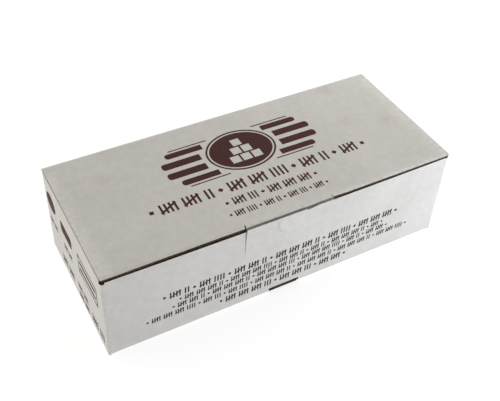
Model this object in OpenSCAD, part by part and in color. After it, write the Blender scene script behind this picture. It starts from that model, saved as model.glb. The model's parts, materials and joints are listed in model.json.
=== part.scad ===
// Chalk box: a one-piece folding carton with a hinged lid, filled with square chalk sticks.
// Millimetres, +Z up, +X along the front. The origin is the centre of the base on the table.

/* [Chalk sticks] */
// Side of the square stick
stick_side = 12; // [8:0.5:16]
// Length of a stick
stick_len = 100; // [70:1:130]
// Rounding along the stick's four long edges
stick_round = 0.8; // [0.2:0.1:2]
// Sticks side by side in one layer
sticks_per_layer = 20; // [12:1:24]
// Layers of sticks in the box
layer_count = 5; // [3:1:7]
// Space between neighbouring sticks
stick_gap = 0.25; // [0.1:0.05:0.6]
// Space between two layers
layer_gap = 0.2; // [0.1:0.05:0.6]

/* [Card] */
// Thickness of the corrugated card
card = 1.5; // [1:0.1:2]
// Inside radius of every fold
fold_in = 0.3; // [0.1:0.1:0.8]
// Width of the seams where two flaps meet
seam = 0.6; // [0.3:0.1:1.5]

/* [Room around the chalk] */
// From the outer sticks to the end walls, with the glue flap in between
end_room = 2.1; // [2.1:0.1:5]
// From the sticks to the front wall, where the lid's tab hangs
tab_room = 3.6; // [3:0.1:6]
// From the sticks to the back wall
back_room = 0.4; // [0.2:0.1:3]
// From the top layer to the underside of the lid
head_room = 7.5; // [5:0.5:20]

/* [Front wall] */
// Gap between the lid and the front wall beside the lip
shoulder_gap = 1.6; // [0.3:0.1:2.5]
// Height of the springy lip in the middle of the front wall
lip_h = 24; // [14:1:30]
// How far the tab behind it pushes the lip's top edge out
lip_lean = 1.3; // [0.8:0.1:1.8]
// Length of the relief notch at each front corner
corner_notch_len = 3; // [2.5:0.5:8]
// Depth of the relief notch below the wall's top edge
corner_notch_h = 1.6; // [0.5:0.1:3]
// Length of the same notch on the end wall's side
end_notch_len = 2.5; // [2.5:0.1:6]
// Width of the lock tongue in the bottom front fold
tongue_w = 23; // [12:1:40]
// Height of the lock tongue's window in the front wall
tongue_window_h = 2.8; // [2.2:0.1:5]

/* [Flaps] */
// Length of the dust flaps that fold in from the end walls
dust_flap_len = 50; // [25:1:60]
// How much the dust flaps narrow at each side of their tip
dust_flap_taper = 7; // [2:1:12]
// Width of the glue flap inside the right end wall
glue_flap_w = 22; // [12:1:35]

/* [Lid] */
// Width of the tab that tucks in behind the front wall
tab_w = 63; // [40:1:90]
// Reach of the tab below the hinge line
tab_reach = 16; // [10:0.5:18]
// Corner radius of the tab's tip
tab_corner = 6; // [2:0.5:8]
// Clear space between the tab and the lip
tab_gap = 0.45; // [0.35:0.05:0.8]
// Length of the slits that free the tab's ends from the lid
tab_slit_len = 2.6; // [2:0.2:6]
// Width of every slit beside the tab and the lip
slit = 0.5; // [0.3:0.1:1]
// Rest gap between the lid and the dust flaps
rest_gap = 0.2; // [0.1:0.05:0.5]
// Gap between the lid and the top of the back wall
hinge_gap = 0.4; // [0.3:0.05:0.8]
// Depth of the hinge line inside the card's outer face
hinge_in = 0.5; // [0.3:0.05:0.6]

/* [Hidden] */
$fn = 48;
fold_out = card + fold_in;

layer_pitch = stick_side + layer_gap;
stick_pitch = stick_side + stick_gap;
layer_len = sticks_per_layer * stick_pitch - stick_gap;
chalk_top = card + layer_count * layer_pitch;

box_l = layer_len + 2 * end_room + 2 * card;
box_w = stick_len + tab_room + back_room + 2 * card;
box_h = chalk_top + head_room + card;
front_y = -box_w / 2;
back_y = box_w / 2;
end_x = box_l / 2;
chalk_y = front_y + card + tab_room;

lid_under = box_h - card;
shoulder_z = lid_under - shoulder_gap;
dust_top = lid_under - rest_gap;
back_top = lid_under - hinge_gap;
lip_top = lid_under - rest_gap;
lip_foot = lip_top - lip_h;
corner_top = shoulder_z - corner_notch_h;
// The vertical folds stop a little above the table, as the flaps are slotted there
post_foot = fold_in;

hinge_y = back_y - hinge_in;
hinge_z = box_h - hinge_in;
tab_r_out = hinge_y - front_y - card + lip_lean - tab_gap;
tab_bend_z = box_h - fold_out;
tab_bend_drop = asin((hinge_z - tab_bend_z) / (tab_r_out - fold_out));
tab_bend_y = hinge_y - (tab_r_out - fold_out) * cos(tab_bend_drop);
lip_w = tab_w;
// Flat stretches that stand in for the tab's bend and for its long, flat curve
bend_steps = 10;
tab_steps = 6;

CARD_WHITE = [0.82, 0.81, 0.78];
CHALK_WHITE = [0.94, 0.93, 0.90];

chalk_nodes = [for (i = [1:layer_count]) str("chalk_layer_", i)];

// A box given by its low and high corners
module block(low, high) {
    translate(low) cube(high - low);
}

// Section of a fold: a quarter ring on the -X -Y side of the origin
module fold_profile() {
    intersection() {
        difference() {
            circle(fold_out);
            circle(fold_in);
        }
        translate([-fold_out, -fold_out]) square(fold_out);
    }
}

// Fold along +X from the origin, from -Y round to -Z
module fold(length) {
    rotate([90, 0, 90]) linear_extrude(length) fold_profile();
}

// Vertical fold of a corner, in the same quarter, up to the given height
module post(top) {
    translate([0, 0, post_foot]) linear_extrude(top - post_foot) fold_profile();
}

// Front wall: shoulders, relief notches, lip between slits and the lock tongue's window
module front_wall() {
    inner_y = front_y + card;
    straight_x = end_x - fold_out;
    lip_half = lip_w / 2;
    difference() {
        block([-straight_x, front_y, fold_out], [straight_x, inner_y, shoulder_z]);
        for (side = [-1, 1])
            translate([side * end_x, inner_y, corner_top + box_h / 2])
                cube([2 * corner_notch_len, 4 * card, box_h], center = true);
        block([-lip_half - slit, front_y - card, lip_foot], [lip_half + slit, inner_y + card, box_h]);
        tongue_window();
    }
    translate([-lip_half, front_y, lip_foot]) rotate([90, 0, 90]) linear_extrude(lip_w)
        polygon([[0, 0], [card, 0], [card - lip_lean, lip_h], [-lip_lean, lip_h]]);
    difference() {
        translate([-straight_x + seam, front_y + fold_out, fold_out]) fold(2 * (straight_x - seam));
        tongue_window();
    }
}

// Space cut out of the bottom front fold round the lock tongue
module tongue_window() {
    half = tongue_w / 2;
    block([-half, front_y - card, -card], [half, front_y + fold_out, tongue_window_h]);
}

// End wall at -X with its top fold, dust flap and bottom fold
module end_wall() {
    straight_y = box_w / 2 - fold_out;
    inner_x = -end_x + card;
    fold_x = -end_x + fold_out;
    flap_front = front_y + end_notch_len;
    flap_w = back_y - fold_out - flap_front;
    block([-end_x, -straight_y, fold_out], [inner_x, straight_y, corner_top]);
    block([-end_x, flap_front, fold_out], [inner_x, flap_front + flap_w, dust_top - fold_out]);
    translate([fold_x, flap_front, dust_top - fold_out])
        mirror([0, 0, 1]) rotate([0, 0, -90]) mirror([1, 0, 0]) fold(flap_w);
    translate([fold_x, flap_front, dust_top - card]) linear_extrude(card)
        polygon([[0, 0], [dust_flap_len, dust_flap_taper],
                 [dust_flap_len, flap_w - dust_flap_taper], [0, flap_w]]);
    translate([fold_x, straight_y, fold_out]) rotate([0, 0, -90]) fold(2 * straight_y);
}

// Back wall with its bottom fold
module back_wall() {
    left_x = -end_x + fold_out;
    right_x = end_x - card - fold_out;
    block([left_x, back_y - card, fold_out], [right_x, back_y, back_top]);
    translate([right_x, back_y - fold_out, fold_out]) rotate([0, 0, 180]) fold(right_x - left_x - seam);
}

// Glue flap of the back wall inside the right end wall, and the end wall's cut edge beside it
module glue_corner() {
    flap_x = end_x - card;
    flap_y = back_y - fold_out;
    translate([flap_x - fold_out, flap_y, 0]) rotate([0, 0, 180]) post(back_top);
    block([flap_x - card, flap_y - glue_flap_w, fold_out], [flap_x, flap_y, dust_top - fold_out]);
    block([flap_x, flap_y, post_foot], [end_x, back_y, corner_top]);
}

// Base: four flaps in one plane that meet in diagonal seams and a middle seam
module base_flaps() {
    half_l = end_x - fold_out;
    half_w = box_w / 2 - fold_out;
    mitre = half_w - seam / 2;
    for (turn = [0, 180]) rotate([0, 0, turn]) linear_extrude(card) {
        polygon([[-half_l + seam, -half_w], [half_l - seam, -half_w],
                 [half_l - seam - mitre, -seam / 2], [-half_l + seam + mitre, -seam / 2]]);
        polygon([[-half_l, -half_w + seam], [-half_l + half_w - seam, 0], [-half_l, half_w - seam]]);
    }
    block([-tongue_w / 2 + slit, front_y, 0], [tongue_w / 2 - slit, -half_w, card]);
}

// Vertical fold of the front left corner
module front_post() {
    translate([-end_x + fold_out, front_y + fold_out, 0]) post(corner_top);
}

module tray() {
    color(CARD_WHITE) {
        front_wall();
        end_wall();
        mirror([1, 0, 0]) end_wall();
        back_wall();
        glue_corner();
        base_flaps();
        front_post();
        mirror([1, 0, 0]) front_post();
        mirror([0, 1, 0]) front_post();
    }
}

// Points of an arc in the Y-Z plane, as angles from +Y towards +Z
function arc(y, z, r, from, to, steps) =
    [for (i = [0:steps]) let (a = from + (to - from) * i / steps) [y + r * cos(a), z + r * sin(a)]];

// Outline of the tab seen from the front, with round corners at its tip
module tab_outline() {
    half = tab_w / 2;
    tip_z = hinge_z - tab_reach;
    translate([-half, tip_z + tab_corner]) square([tab_w, tab_reach + card]);
    translate([-half + tab_corner, tip_z]) square([tab_w - 2 * tab_corner, tab_corner]);
    for (side = [-1, 1]) translate([side * (half - tab_corner), tip_z + tab_corner]) circle(tab_corner);
}

// Tab: bent down at the lid's edge, then curved about the hinge line, so that it slides out
// from behind the lip freely
module tab() {
    r_in = tab_r_out - card;
    start = 180 + tab_bend_drop;
    tip_out = 180 + asin(tab_reach / tab_r_out);
    tip_in = 180 + asin(tab_reach / r_in);
    root_y = front_y + tab_slit_len + card;
    section = concat(
        [[root_y, lid_under], [root_y, box_h]],
        arc(tab_bend_y, tab_bend_z, fold_out, 90, start, bend_steps),
        arc(hinge_y, hinge_z, tab_r_out, start, tip_out, tab_steps),
        arc(hinge_y, hinge_z, r_in, tip_in, start, tab_steps),
        arc(tab_bend_y, tab_bend_z, fold_in, start, 90, bend_steps)
    );
    intersection() {
        translate([-tab_w / 2, 0, 0]) rotate([90, 0, 90]) linear_extrude(tab_w) polygon(section);
        translate([0, root_y, 0]) rotate([90, 0, 0]) linear_extrude(box_w) tab_outline();
    }
}

// Flat panel of the lid, rounded along its fold at the back
module lid_panel() {
    flat_back = back_y - card;
    translate([-end_x, 0, 0]) rotate([90, 0, 90]) linear_extrude(box_l) {
        translate([front_y, lid_under]) square([flat_back - front_y, card]);
        translate([flat_back, lid_under]) intersection() {
            circle(card);
            square(card);
        }
    }
}

module lid() {
    half = tab_w / 2 + slit;
    color(CARD_WHITE) {
        difference() {
            lid_panel();
            block([-half, front_y - card, lid_under - card], [half, front_y + tab_slit_len, box_h + card]);
        }
        tab();
    }
}

// One stick lying along +Y, resting on its bottom face
module stick() {
    r = stick_round;
    inner = stick_side - 2 * r;
    translate([0, stick_len, 0]) rotate([90, 0, 0]) linear_extrude(stick_len) {
        translate([-stick_side / 2, r]) square([stick_side, inner]);
        translate([-inner / 2, 0]) square([inner, stick_side]);
        for (x = [-inner / 2, inner / 2], z = [r, stick_side - r]) translate([x, z]) circle(r);
    }
}

// One layer of separate sticks
module chalk_layer(level) {
    color(CHALK_WHITE) for (k = [0:sticks_per_layer - 1])
        translate([(k - (sticks_per_layer - 1) / 2) * stick_pitch, chalk_y,
                   card + layer_gap + (level - 1) * layer_pitch])
            stick();
}

tray();
lid();
for (i = [1:layer_count])
    chalk_layer(i);
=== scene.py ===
"""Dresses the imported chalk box: a folding carton of corrugated card, its print and its chalk sticks.

Lengths are in millimetres unless a note says otherwise.
"""
import functools
import json
import logging
import math
import random
from dataclasses import dataclass, field
from enum import Enum, IntEnum
from typing import Callable, NamedTuple, Sequence

import bmesh
import bpy
from mathutils import Matrix, Vector


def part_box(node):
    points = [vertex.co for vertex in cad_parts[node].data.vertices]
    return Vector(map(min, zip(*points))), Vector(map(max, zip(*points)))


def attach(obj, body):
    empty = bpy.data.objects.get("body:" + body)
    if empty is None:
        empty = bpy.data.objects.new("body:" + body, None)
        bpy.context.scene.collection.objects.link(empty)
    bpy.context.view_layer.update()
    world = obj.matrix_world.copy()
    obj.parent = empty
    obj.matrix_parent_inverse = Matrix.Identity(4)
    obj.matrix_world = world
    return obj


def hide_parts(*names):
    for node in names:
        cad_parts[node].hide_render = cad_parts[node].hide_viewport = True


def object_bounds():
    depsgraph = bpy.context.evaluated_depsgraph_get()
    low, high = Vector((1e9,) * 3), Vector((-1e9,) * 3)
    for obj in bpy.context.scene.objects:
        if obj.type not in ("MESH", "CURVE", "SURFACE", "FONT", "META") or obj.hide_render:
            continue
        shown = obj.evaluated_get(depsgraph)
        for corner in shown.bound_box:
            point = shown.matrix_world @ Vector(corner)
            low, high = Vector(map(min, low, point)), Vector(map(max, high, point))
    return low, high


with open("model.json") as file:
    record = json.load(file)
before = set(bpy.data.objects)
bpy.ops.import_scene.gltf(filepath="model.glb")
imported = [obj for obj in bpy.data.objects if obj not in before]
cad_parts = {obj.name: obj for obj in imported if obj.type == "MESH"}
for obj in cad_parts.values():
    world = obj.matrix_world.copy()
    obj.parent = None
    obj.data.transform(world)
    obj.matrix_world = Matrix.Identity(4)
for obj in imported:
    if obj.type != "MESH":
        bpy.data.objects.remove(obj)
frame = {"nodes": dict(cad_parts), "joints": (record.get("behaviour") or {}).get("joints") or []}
CAD_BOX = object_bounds()
LOG = logging.getLogger("chalk_box")
MM = 0.001
# Room in millimetres that a test of place allows
HAIR = 0.1
# Share of a direction that counts as running along an axis
ALONG = 0.9

Point = Sequence[float]
Span = tuple[float, float]
Colour = tuple[float, float, float, float]
Piece = bpy.types.Object
Link = tuple[bpy.types.Node, str | int]
Test = Callable[[Vector, Vector], bool]


class Element(Enum):
    """What a pick in edit mode selects."""

    VERT = "VERT"
    EDGE = "EDGE"
    FACE = "FACE"


class Panel(Enum):
    """The sides of the carton that carry print."""

    LID = "lid"
    FRONT = "front"
    BACK = "back"
    LEFT_END = "left_end"
    RIGHT_END = "right_end"


class Skin(IntEnum):
    """The material slots of a card piece, in the order that the thickening step counts on."""

    LINER = 0
    KRAFT = 1
    RIM = 2
    # The core slot carries painted shade: the near-black finish of sunk cut edges, notches and windows.
    CORE = 3
    EDGE = 4


def near(value: float, target: float, room: float = HAIR / 2) -> bool:
    """Says whether two millimetre values are the same."""
    return abs(value - target) < room


def everywhere(centre: Vector, direction: Vector) -> bool:
    """The test that everything passes."""
    return True


def ramp(value: float, low: float, high: float) -> float:
    """Runs smoothly from 0 at low to 1 at high."""
    share = min(1.0, max(0.0, (value - low) / (high - low)))
    return share * share * (3.0 - 2.0 * share)


def marks(low: float, high: float, step: float) -> tuple[float, ...]:
    """Lists the places from low to high that lie one step apart."""
    return tuple(low + step * i for i in range(round((high - low) / step) + 1))


def only(obj: Piece) -> None:
    """Makes one object the only one that is selected, and the active one.

    Args:
        obj: The object.
    """
    bpy.ops.object.select_all(action="DESELECT")
    obj.select_set(True)
    bpy.context.view_layer.objects.active = obj


def start_piece(name: str, add: Callable, scale: Point, **settings: object) -> Piece:
    """Adds a primitive and moves its place, turn and scale into its mesh.

    Args:
        name: Name of the piece.
        add: The operator that adds the primitive.
        scale: Its scale along X, Y and Z.
        **settings: What the operator is told.

    Returns:
        The new object.
    """
    bpy.ops.object.select_all(action="DESELECT")
    add(**settings)
    obj = bpy.context.active_object
    obj.scale = scale
    only(obj)
    bpy.ops.object.transform_apply(location=True, rotation=True, scale=True)
    obj.name = name
    obj.data.name = name
    return obj


def start_sheet(name: str, centre: Point, size: Point, turn: Point = (0.0, 0.0, 0.0)) -> Piece:
    """Adds a flat sheet at its size and place.

    Args:
        name: Name of the piece.
        centre: Centre.
        size: Width and length in millimetres, before the turn.
        turn: Turn about X, Y and Z in degrees.

    Returns:
        The new object, with its place in its mesh.
    """
    return start_piece(
        name, bpy.ops.mesh.primitive_plane_add, (size[0] * MM, size[1] * MM, 1.0), size=1.0,
        location=[c * MM for c in centre], rotation=[math.radians(a) for a in turn],
    )


def finish_with(obj: Piece, kind: str, **settings: object) -> None:
    """Adds a modifier and applies it.

    Args:
        obj: The piece.
        kind: The modifier's type.
        **settings: Its settings.
    """
    only(obj)
    modifier = obj.modifiers.new(kind.title(), kind)
    for key, value in settings.items():
        setattr(modifier, key, value)
    bpy.ops.object.modifier_apply(modifier=modifier.name)


def move_points(obj: Piece, shift: Callable[[Vector], Vector]) -> None:
    """Moves every point of a mesh by a rule.

    Args:
        obj: The piece.
        shift: Gives a point's new place from its old one.
    """
    for vertex in obj.data.vertices:
        vertex.co = shift(vertex.co / MM) * MM
    obj.data.update()


def smooth(obj: Piece, degrees: float = 40.0) -> None:
    """Shades a piece smoothly up to the given angle between faces."""
    only(obj)
    bpy.ops.object.shade_smooth_by_angle(angle=math.radians(degrees))


class Bench:
    """One mesh in edit mode, shaped by operators on what is picked by its place and direction."""

    def __init__(self, obj: Piece) -> None:
        """Keeps the object to work on."""
        self.obj = obj

    def __enter__(self) -> "Bench":
        """Opens edit mode on the object alone.

        Returns:
            The bench.
        """
        only(self.obj)
        bpy.ops.object.mode_set(mode="EDIT")
        return self

    def __exit__(self, *error: object) -> None:
        """Leaves edit mode."""
        bpy.ops.object.mode_set(mode="OBJECT")

    def pick(self, kind: Element, test: Test) -> int:
        """Selects what passes a test, and nothing else.

        Args:
            kind: Points, edges or faces.
            test: Gets the centre in millimetres and the normal, or for an edge its direction.

        Returns:
            How many were selected.
        """
        bpy.ops.mesh.select_mode(type=kind.value)
        bpy.ops.mesh.select_all(action="DESELECT")
        mesh = bmesh.from_edit_mesh(self.obj.data)
        mesh.normal_update()
        if kind is Element.VERT:
            found = [(v, v.co, v.normal) for v in mesh.verts]
        elif kind is Element.EDGE:
            ends = [(e, e.verts[0].co, e.verts[1].co) for e in mesh.edges]
            found = [(e, (a + b) / 2, (b - a).normalized()) for e, a, b in ends]
        else:
            found = [(f, f.calc_center_median(), f.normal) for f in mesh.faces]
        passed = [item for item, centre, direction in found if test(centre / MM, direction)]
        for item in passed:
            item.select_set(True)
        mesh.select_flush_mode()
        bmesh.update_edit_mesh(self.obj.data)
        return len(passed)

    def cut(self, point: Point, normal: Point, test: Test = everywhere, trim: bool = False) -> None:
        """Cuts the faces that pass a test by a plane.

        Args:
            point: A point of the plane.
            normal: The plane's normal.
            test: Which faces to cut.
            trim: Whether what lies on the normal's side goes away.
        """
        self.pick(Element.FACE, test)
        bpy.ops.mesh.bisect(plane_co=[c * MM for c in point], plane_no=normal, clear_outer=trim)

    def cut_rows(self, axis: int, places: Sequence[float], test: Test = everywhere) -> None:
        """Cuts at several places along one axis.

        Args:
            axis: 0, 1 or 2 for X, Y or Z.
            places: Where to cut,.
            test: Which faces to cut.
        """
        normal = [0.0, 0.0, 0.0]
        normal[axis] = 1.0
        for place in places:
            self.cut([place * n for n in normal], normal, test)

    def round_corner(
        self, centre: Point, radius: float, sides: tuple[Point, Point], facets: Sequence[float],
        test: Test = everywhere,
    ) -> None:
        """Trims a corner round.

        Args:
            centre: Middle of the rounding.
            radius: Its radius.
            sides: The outward directions of the two sides that meet there.
            facets: Directions of the facets, in degrees from the first side to the second.
            test: Which faces to cut.
        """
        first, second = (Vector(side) for side in sides)
        for angle in facets:
            normal = first * math.cos(math.radians(angle)) + second * math.sin(math.radians(angle))
            self.cut(Vector(centre) + normal * radius, normal, test, trim=True)

    def roll(self, centre: Point, axis: Point, degrees: float, steps: int = 4) -> None:
        """Spins what is picked round an axis, by the right-hand rule.

        Args:
            centre: A point of the axis.
            axis: Direction of the axis.
            degrees: How far to turn.
            steps: Faces along the turn.
        """
        bpy.ops.mesh.spin(
            steps=steps, angle=-math.radians(degrees), center=[c * MM for c in centre], axis=axis
        )

    def pull(self, by: Point) -> None:
        """Extrudes what is picked by a distance in millimetres."""
        bpy.ops.mesh.extrude_region_move(TRANSFORM_OT_translate={"value": [c * MM for c in by]})

    def fold(self, test: Test, centre: Point, axis: Point, degrees: float, run: Point) -> None:
        """Folds a flap out of the edges that pass a test.

        Args:
            test: Which edges to fold.
            centre: A point of the fold's axis.
            axis: Direction of the axis.
            degrees: How far the card turns in the fold.
            run: How far the flap runs on from there.
        """
        self.pick(Element.EDGE, test)
        self.roll(centre, axis, degrees)
        self.pull(run)

    def scale(self, factors: Point, centre: Point = (0.0, 0.0, 0.0)) -> None:
        """Scales what is picked about a point given in millimetres."""
        bpy.ops.transform.resize(value=factors, center_override=[c * MM for c in centre])

    def drop_faces(self, test: Test) -> None:
        """Deletes the faces that pass a test."""
        if self.pick(Element.FACE, test):
            bpy.ops.mesh.delete(type="FACE")

    def hollow(self, border: float) -> None:
        """Leaves only a border round a flat shape.

        Args:
            border: Its width.
        """
        self.pick(Element.FACE, everywhere)
        bpy.ops.mesh.inset(thickness=border * MM, depth=0.0)
        bpy.ops.mesh.delete(type="FACE")

    def round_points(self, test: Test, radius: float) -> None:
        """Rounds the corners of a flat shape that pass a test."""
        self.pick(Element.VERT, test)
        bpy.ops.mesh.bevel(offset=radius * MM, segments=5, affect="VERTICES")

    def weld(self, room: float = HAIR / 10) -> None:
        """Merges points that lie within a distance in millimetres."""
        bpy.ops.mesh.select_all(action="SELECT")
        bpy.ops.mesh.remove_doubles(threshold=room * MM)

    def agree_normals(self) -> None:
        """Makes all normals agree, outwards on a closed shape."""
        bpy.ops.mesh.select_all(action="SELECT")
        bpy.ops.mesh.normals_make_consistent(inside=False)

    def face_out(self, probe: Test, outward: Point) -> None:
        """Makes all normals agree, pointing outwards at a probe face.

        Args:
            probe: Picks a face whose direction is known.
            outward: The direction that its normal should have.
        """
        self.agree_normals()
        self.pick(Element.FACE, probe)
        known = next(f for f in bmesh.from_edit_mesh(self.obj.data).faces if f.select)
        if known.normal.dot(Vector(outward)) < 0:
            bpy.ops.mesh.select_all(action="SELECT")
            bpy.ops.mesh.flip_normals()


@dataclass(frozen=True)
class CartonSizes:
    """The carton's sizes in millimetres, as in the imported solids."""

    half_l: float
    half_w: float
    high: float
    lip_top: float
    lip_lean: float
    hinge_y: float
    hinge_z: float
    card: float = 1.5
    fold_in: float = 0.3
    seam: float = 0.6
    slit: float = 0.5
    lip_half: float = 31.5
    lip_h: float = 24.0
    shoulder_gap: float = 1.6
    corner_h: float = 1.6
    corner_len: float = 3.0
    end_notch: float = 2.5
    dust_len: float = 50.0
    dust_taper: float = 7.0
    glue_len: float = 22.0
    tongue_half: float = 11.5
    tab_gap: float = 0.45
    tab_slit: float = 2.6
    tab_corner: float = 6.0
    tab_reach: float = 16.0
    fold_wall_z: float = 64.0
    fold_lid_y: float = 46.0

    @classmethod
    def from_frame(cls) -> "CartonSizes":
        """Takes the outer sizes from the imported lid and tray, and the hinge line from its joint.

        Returns:
            The sizes.
        """
        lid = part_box("lid")[1] / MM
        tray_low, tray_high = (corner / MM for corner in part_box("tray"))
        hinge = Vector(frame["joints"][0]["pos_m"]) / MM
        return cls(
            half_l=lid.x, half_w=lid.y, high=lid.z, lip_top=tray_high.z, lip_lean=-tray_low.y - lid.y,
            hinge_y=hinge.y, hinge_z=hinge.z,
        )

    @property
    def fold(self) -> float:
        """Outer radius of every fold."""
        return self.card + self.fold_in

    @property
    def flat_x(self) -> float:
        """Half the straight length between the corner folds."""
        return self.half_l - self.fold

    @property
    def flat_y(self) -> float:
        """Half the straight width between the corner folds."""
        return self.half_w - self.fold

    @property
    def under(self) -> float:
        """Height of the lid's underside."""
        return self.high - self.card

    @property
    def roll_z(self) -> float:
        """Height of the axis of the lid's folds."""
        return self.high - self.fold

    @property
    def lip_foot(self) -> float:
        """Height at which the slits beside the lip start."""
        return self.lip_top - self.lip_h

    @property
    def shoulder(self) -> float:
        """Height of the front wall beside the lip."""
        return self.under - self.shoulder_gap

    @property
    def corner_top(self) -> float:
        """Height of the corner folds, at the bottom of their relief notches."""
        return self.shoulder - self.corner_h

    @property
    def dust_top(self) -> float:
        """Height of the dust flaps, level with the lip."""
        return self.lip_top

    @property
    def dust_fold(self) -> float:
        """Height at which the dust flaps' folds start."""
        return self.dust_top - self.fold

    @property
    def flap_front(self) -> float:
        """Where the dust flaps start, behind the front corners."""
        return -self.half_w + self.end_notch

    @property
    def tab_slit_y(self) -> float:
        """Where the slots beside the tab end."""
        return -self.half_w + self.tab_slit

    @property
    def tab_drop(self) -> float:
        """Angle in degrees below the hinge line at which the tab's bend ends."""
        return math.degrees(math.asin((self.hinge_z - self.roll_z) / self.tab_arm))

    @property
    def tab_arm(self) -> float:
        """From the hinge line to the axis of the tab's bend, with the tab just behind the leaning lip."""
        return self.hinge_y + self.half_w - self.card + self.lip_lean - self.tab_gap - self.fold

    @property
    def tab_bend_y(self) -> float:
        """Where the lid bends down into the tab."""
        return self.hinge_y - self.tab_arm * math.cos(math.radians(self.tab_drop))


@dataclass(frozen=True)
class CardShape:
    """How the card of a full, handled carton stands off its flat planes, in millimetres."""

    sizes: CartonSizes
    front_bow: float = 0.75
    front_rise: Span = (4.0, 62.0)
    end_bow: float = 0.35
    end_rise: Span = (3.0, 30.0)
    end_fall: Span = (45.0, 67.0)
    lid_crown: float = 0.3
    lid_ripple: float = 0.06
    ripple_pace: Span = (0.047, 0.061)
    ripple_start: Span = (1.1, -0.4)
    ripple_front: Span = (-50.0, -40.0)
    ripple_back: Span = (0.0, 12.0)
    edge_crush: float = 0.5
    crush_depth: float = 2.1
    crush_uneven: float = 0.2
    crush_pace: Span = (0.23, 0.071)
    lip_rise: float = 0.35
    chip_x: float = 12.2
    chip_deep: float = 1.0
    chip_edge: Span = (0.3, 1.1)
    thumb_z: float = 65.0
    thumb_low: float = 0.1
    thumb_more: float = 0.32
    thumb_side: Span = (-5.0, 6.0)
    thumb_dish: Span = (2.0, 8.8)
    thumb_edge: Span = (8.8, 9.8)
    thumb_fade: Span = (66.0, 69.5)
    left_shoulder: float = 0.08
    right_shoulder: float = 0.9
    dust_sag: float = 2.4
    tongue_back: float = 0.7
    tongue_gap: float = 0.7

    def front(self, x: float, z: float) -> float:
        """How far the front wall stands out at a place.

        Args:
            x: Place along the wall.
            z: Height.

        Returns:
            The distance along -Y.
        """
        s = self.sizes
        along = max(0.0, 1.0 - (x / s.flat_x) ** 2)
        out = self.front_bow * along * ramp(z, *self.front_rise)
        if abs(x) < s.lip_half + 2 * HAIR and z > s.lip_foot:
            up = (z - s.lip_foot) / s.lip_h
            out += (s.lip_lean - self.front_bow) * up + self.thumb_mark(x, z)
        return out

    def thumb_mark(self, x: float, z: float) -> float:
        """Height of the half-round mark at the lip's top, where a thumb presses: most at its left.

        Args:
            x: Place along the lip.
            z: Height.

        Returns:
            The distance along -Y.
        """
        reach = math.hypot(x, z - self.thumb_z)
        height = self.thumb_low + self.thumb_more * ramp(-x, *self.thumb_side)
        dish = ramp(reach, *self.thumb_dish) * (1.0 - ramp(reach, *self.thumb_edge))
        return height * dish * (1.0 - ramp(z, *self.thumb_fade))

    def lip_top(self, x: float) -> float:
        """How far the lip's cut edge stands above its nominal height, with a chip beside the thumb mark."""
        chip = 1.0 - ramp(abs(x - self.chip_x), *self.chip_edge)
        return self.lip_rise - self.chip_deep * chip

    def end(self, y: float, z: float) -> float:
        """How far an end wall stands out at a place."""
        along = max(0.0, 1.0 - (y / self.sizes.flat_y) ** 2)
        return self.end_bow * along * ramp(z, *self.end_rise) * (1.0 - ramp(z, *self.end_fall))

    def shoulder_lift(self, x: float) -> float:
        """How far a shoulder's cut edge stands above its nominal height."""
        return self.left_shoulder if x < 0 else self.right_shoulder

    def dust_drop(self, x: float) -> float:
        """How far a dust flap sags at a place, most at its tip."""
        return self.dust_sag * (self.sizes.flat_x - abs(x)) / self.sizes.dust_len

    def lid_edge(self, p: Vector) -> Vector:
        """Presses the lid's cut front edge thinner, as handling does.

        Args:
            p: A point of the lid's card.

        Returns:
            Its place in the crushed edge.
        """
        s = self.sizes
        if abs(p.x) < s.lip_half + s.slit - HAIR / 2 or p.z < s.under:
            return p
        fast, slow = self.crush_pace
        wave = math.sin(p.x * fast) * math.sin(p.x * slow + 1.0)
        press = self.edge_crush * (1.0 - self.crush_uneven + self.crush_uneven * wave)
        thin = press * (1.0 - ramp(p.y + s.half_w, 0.0, self.crush_depth))
        return Vector((p.x, p.y, s.under + (p.z - s.under) * (1.0 - thin / s.card)))

    def lid(self, x: float, y: float) -> float:
        """How far the lid's panel stands up at a place.

        Args:
            x: Place along the lid.
            y: Place from front to back.

        Returns:
            The distance along +Z.
        """
        s = self.sizes
        across = max(0.0, 1.0 - (x / s.half_l) ** 2) * max(0.0, 1.0 - (y / s.half_w) ** 2)
        ripple = math.sin(x * self.ripple_pace[0] + self.ripple_start[0])
        ripple *= math.cos(y * self.ripple_pace[1] + self.ripple_start[1])
        ripple *= ramp(y, *self.ripple_front) * ramp(s.fold_lid_y - y, *self.ripple_back)
        return self.lid_crown * across + self.lid_ripple * ripple


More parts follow.
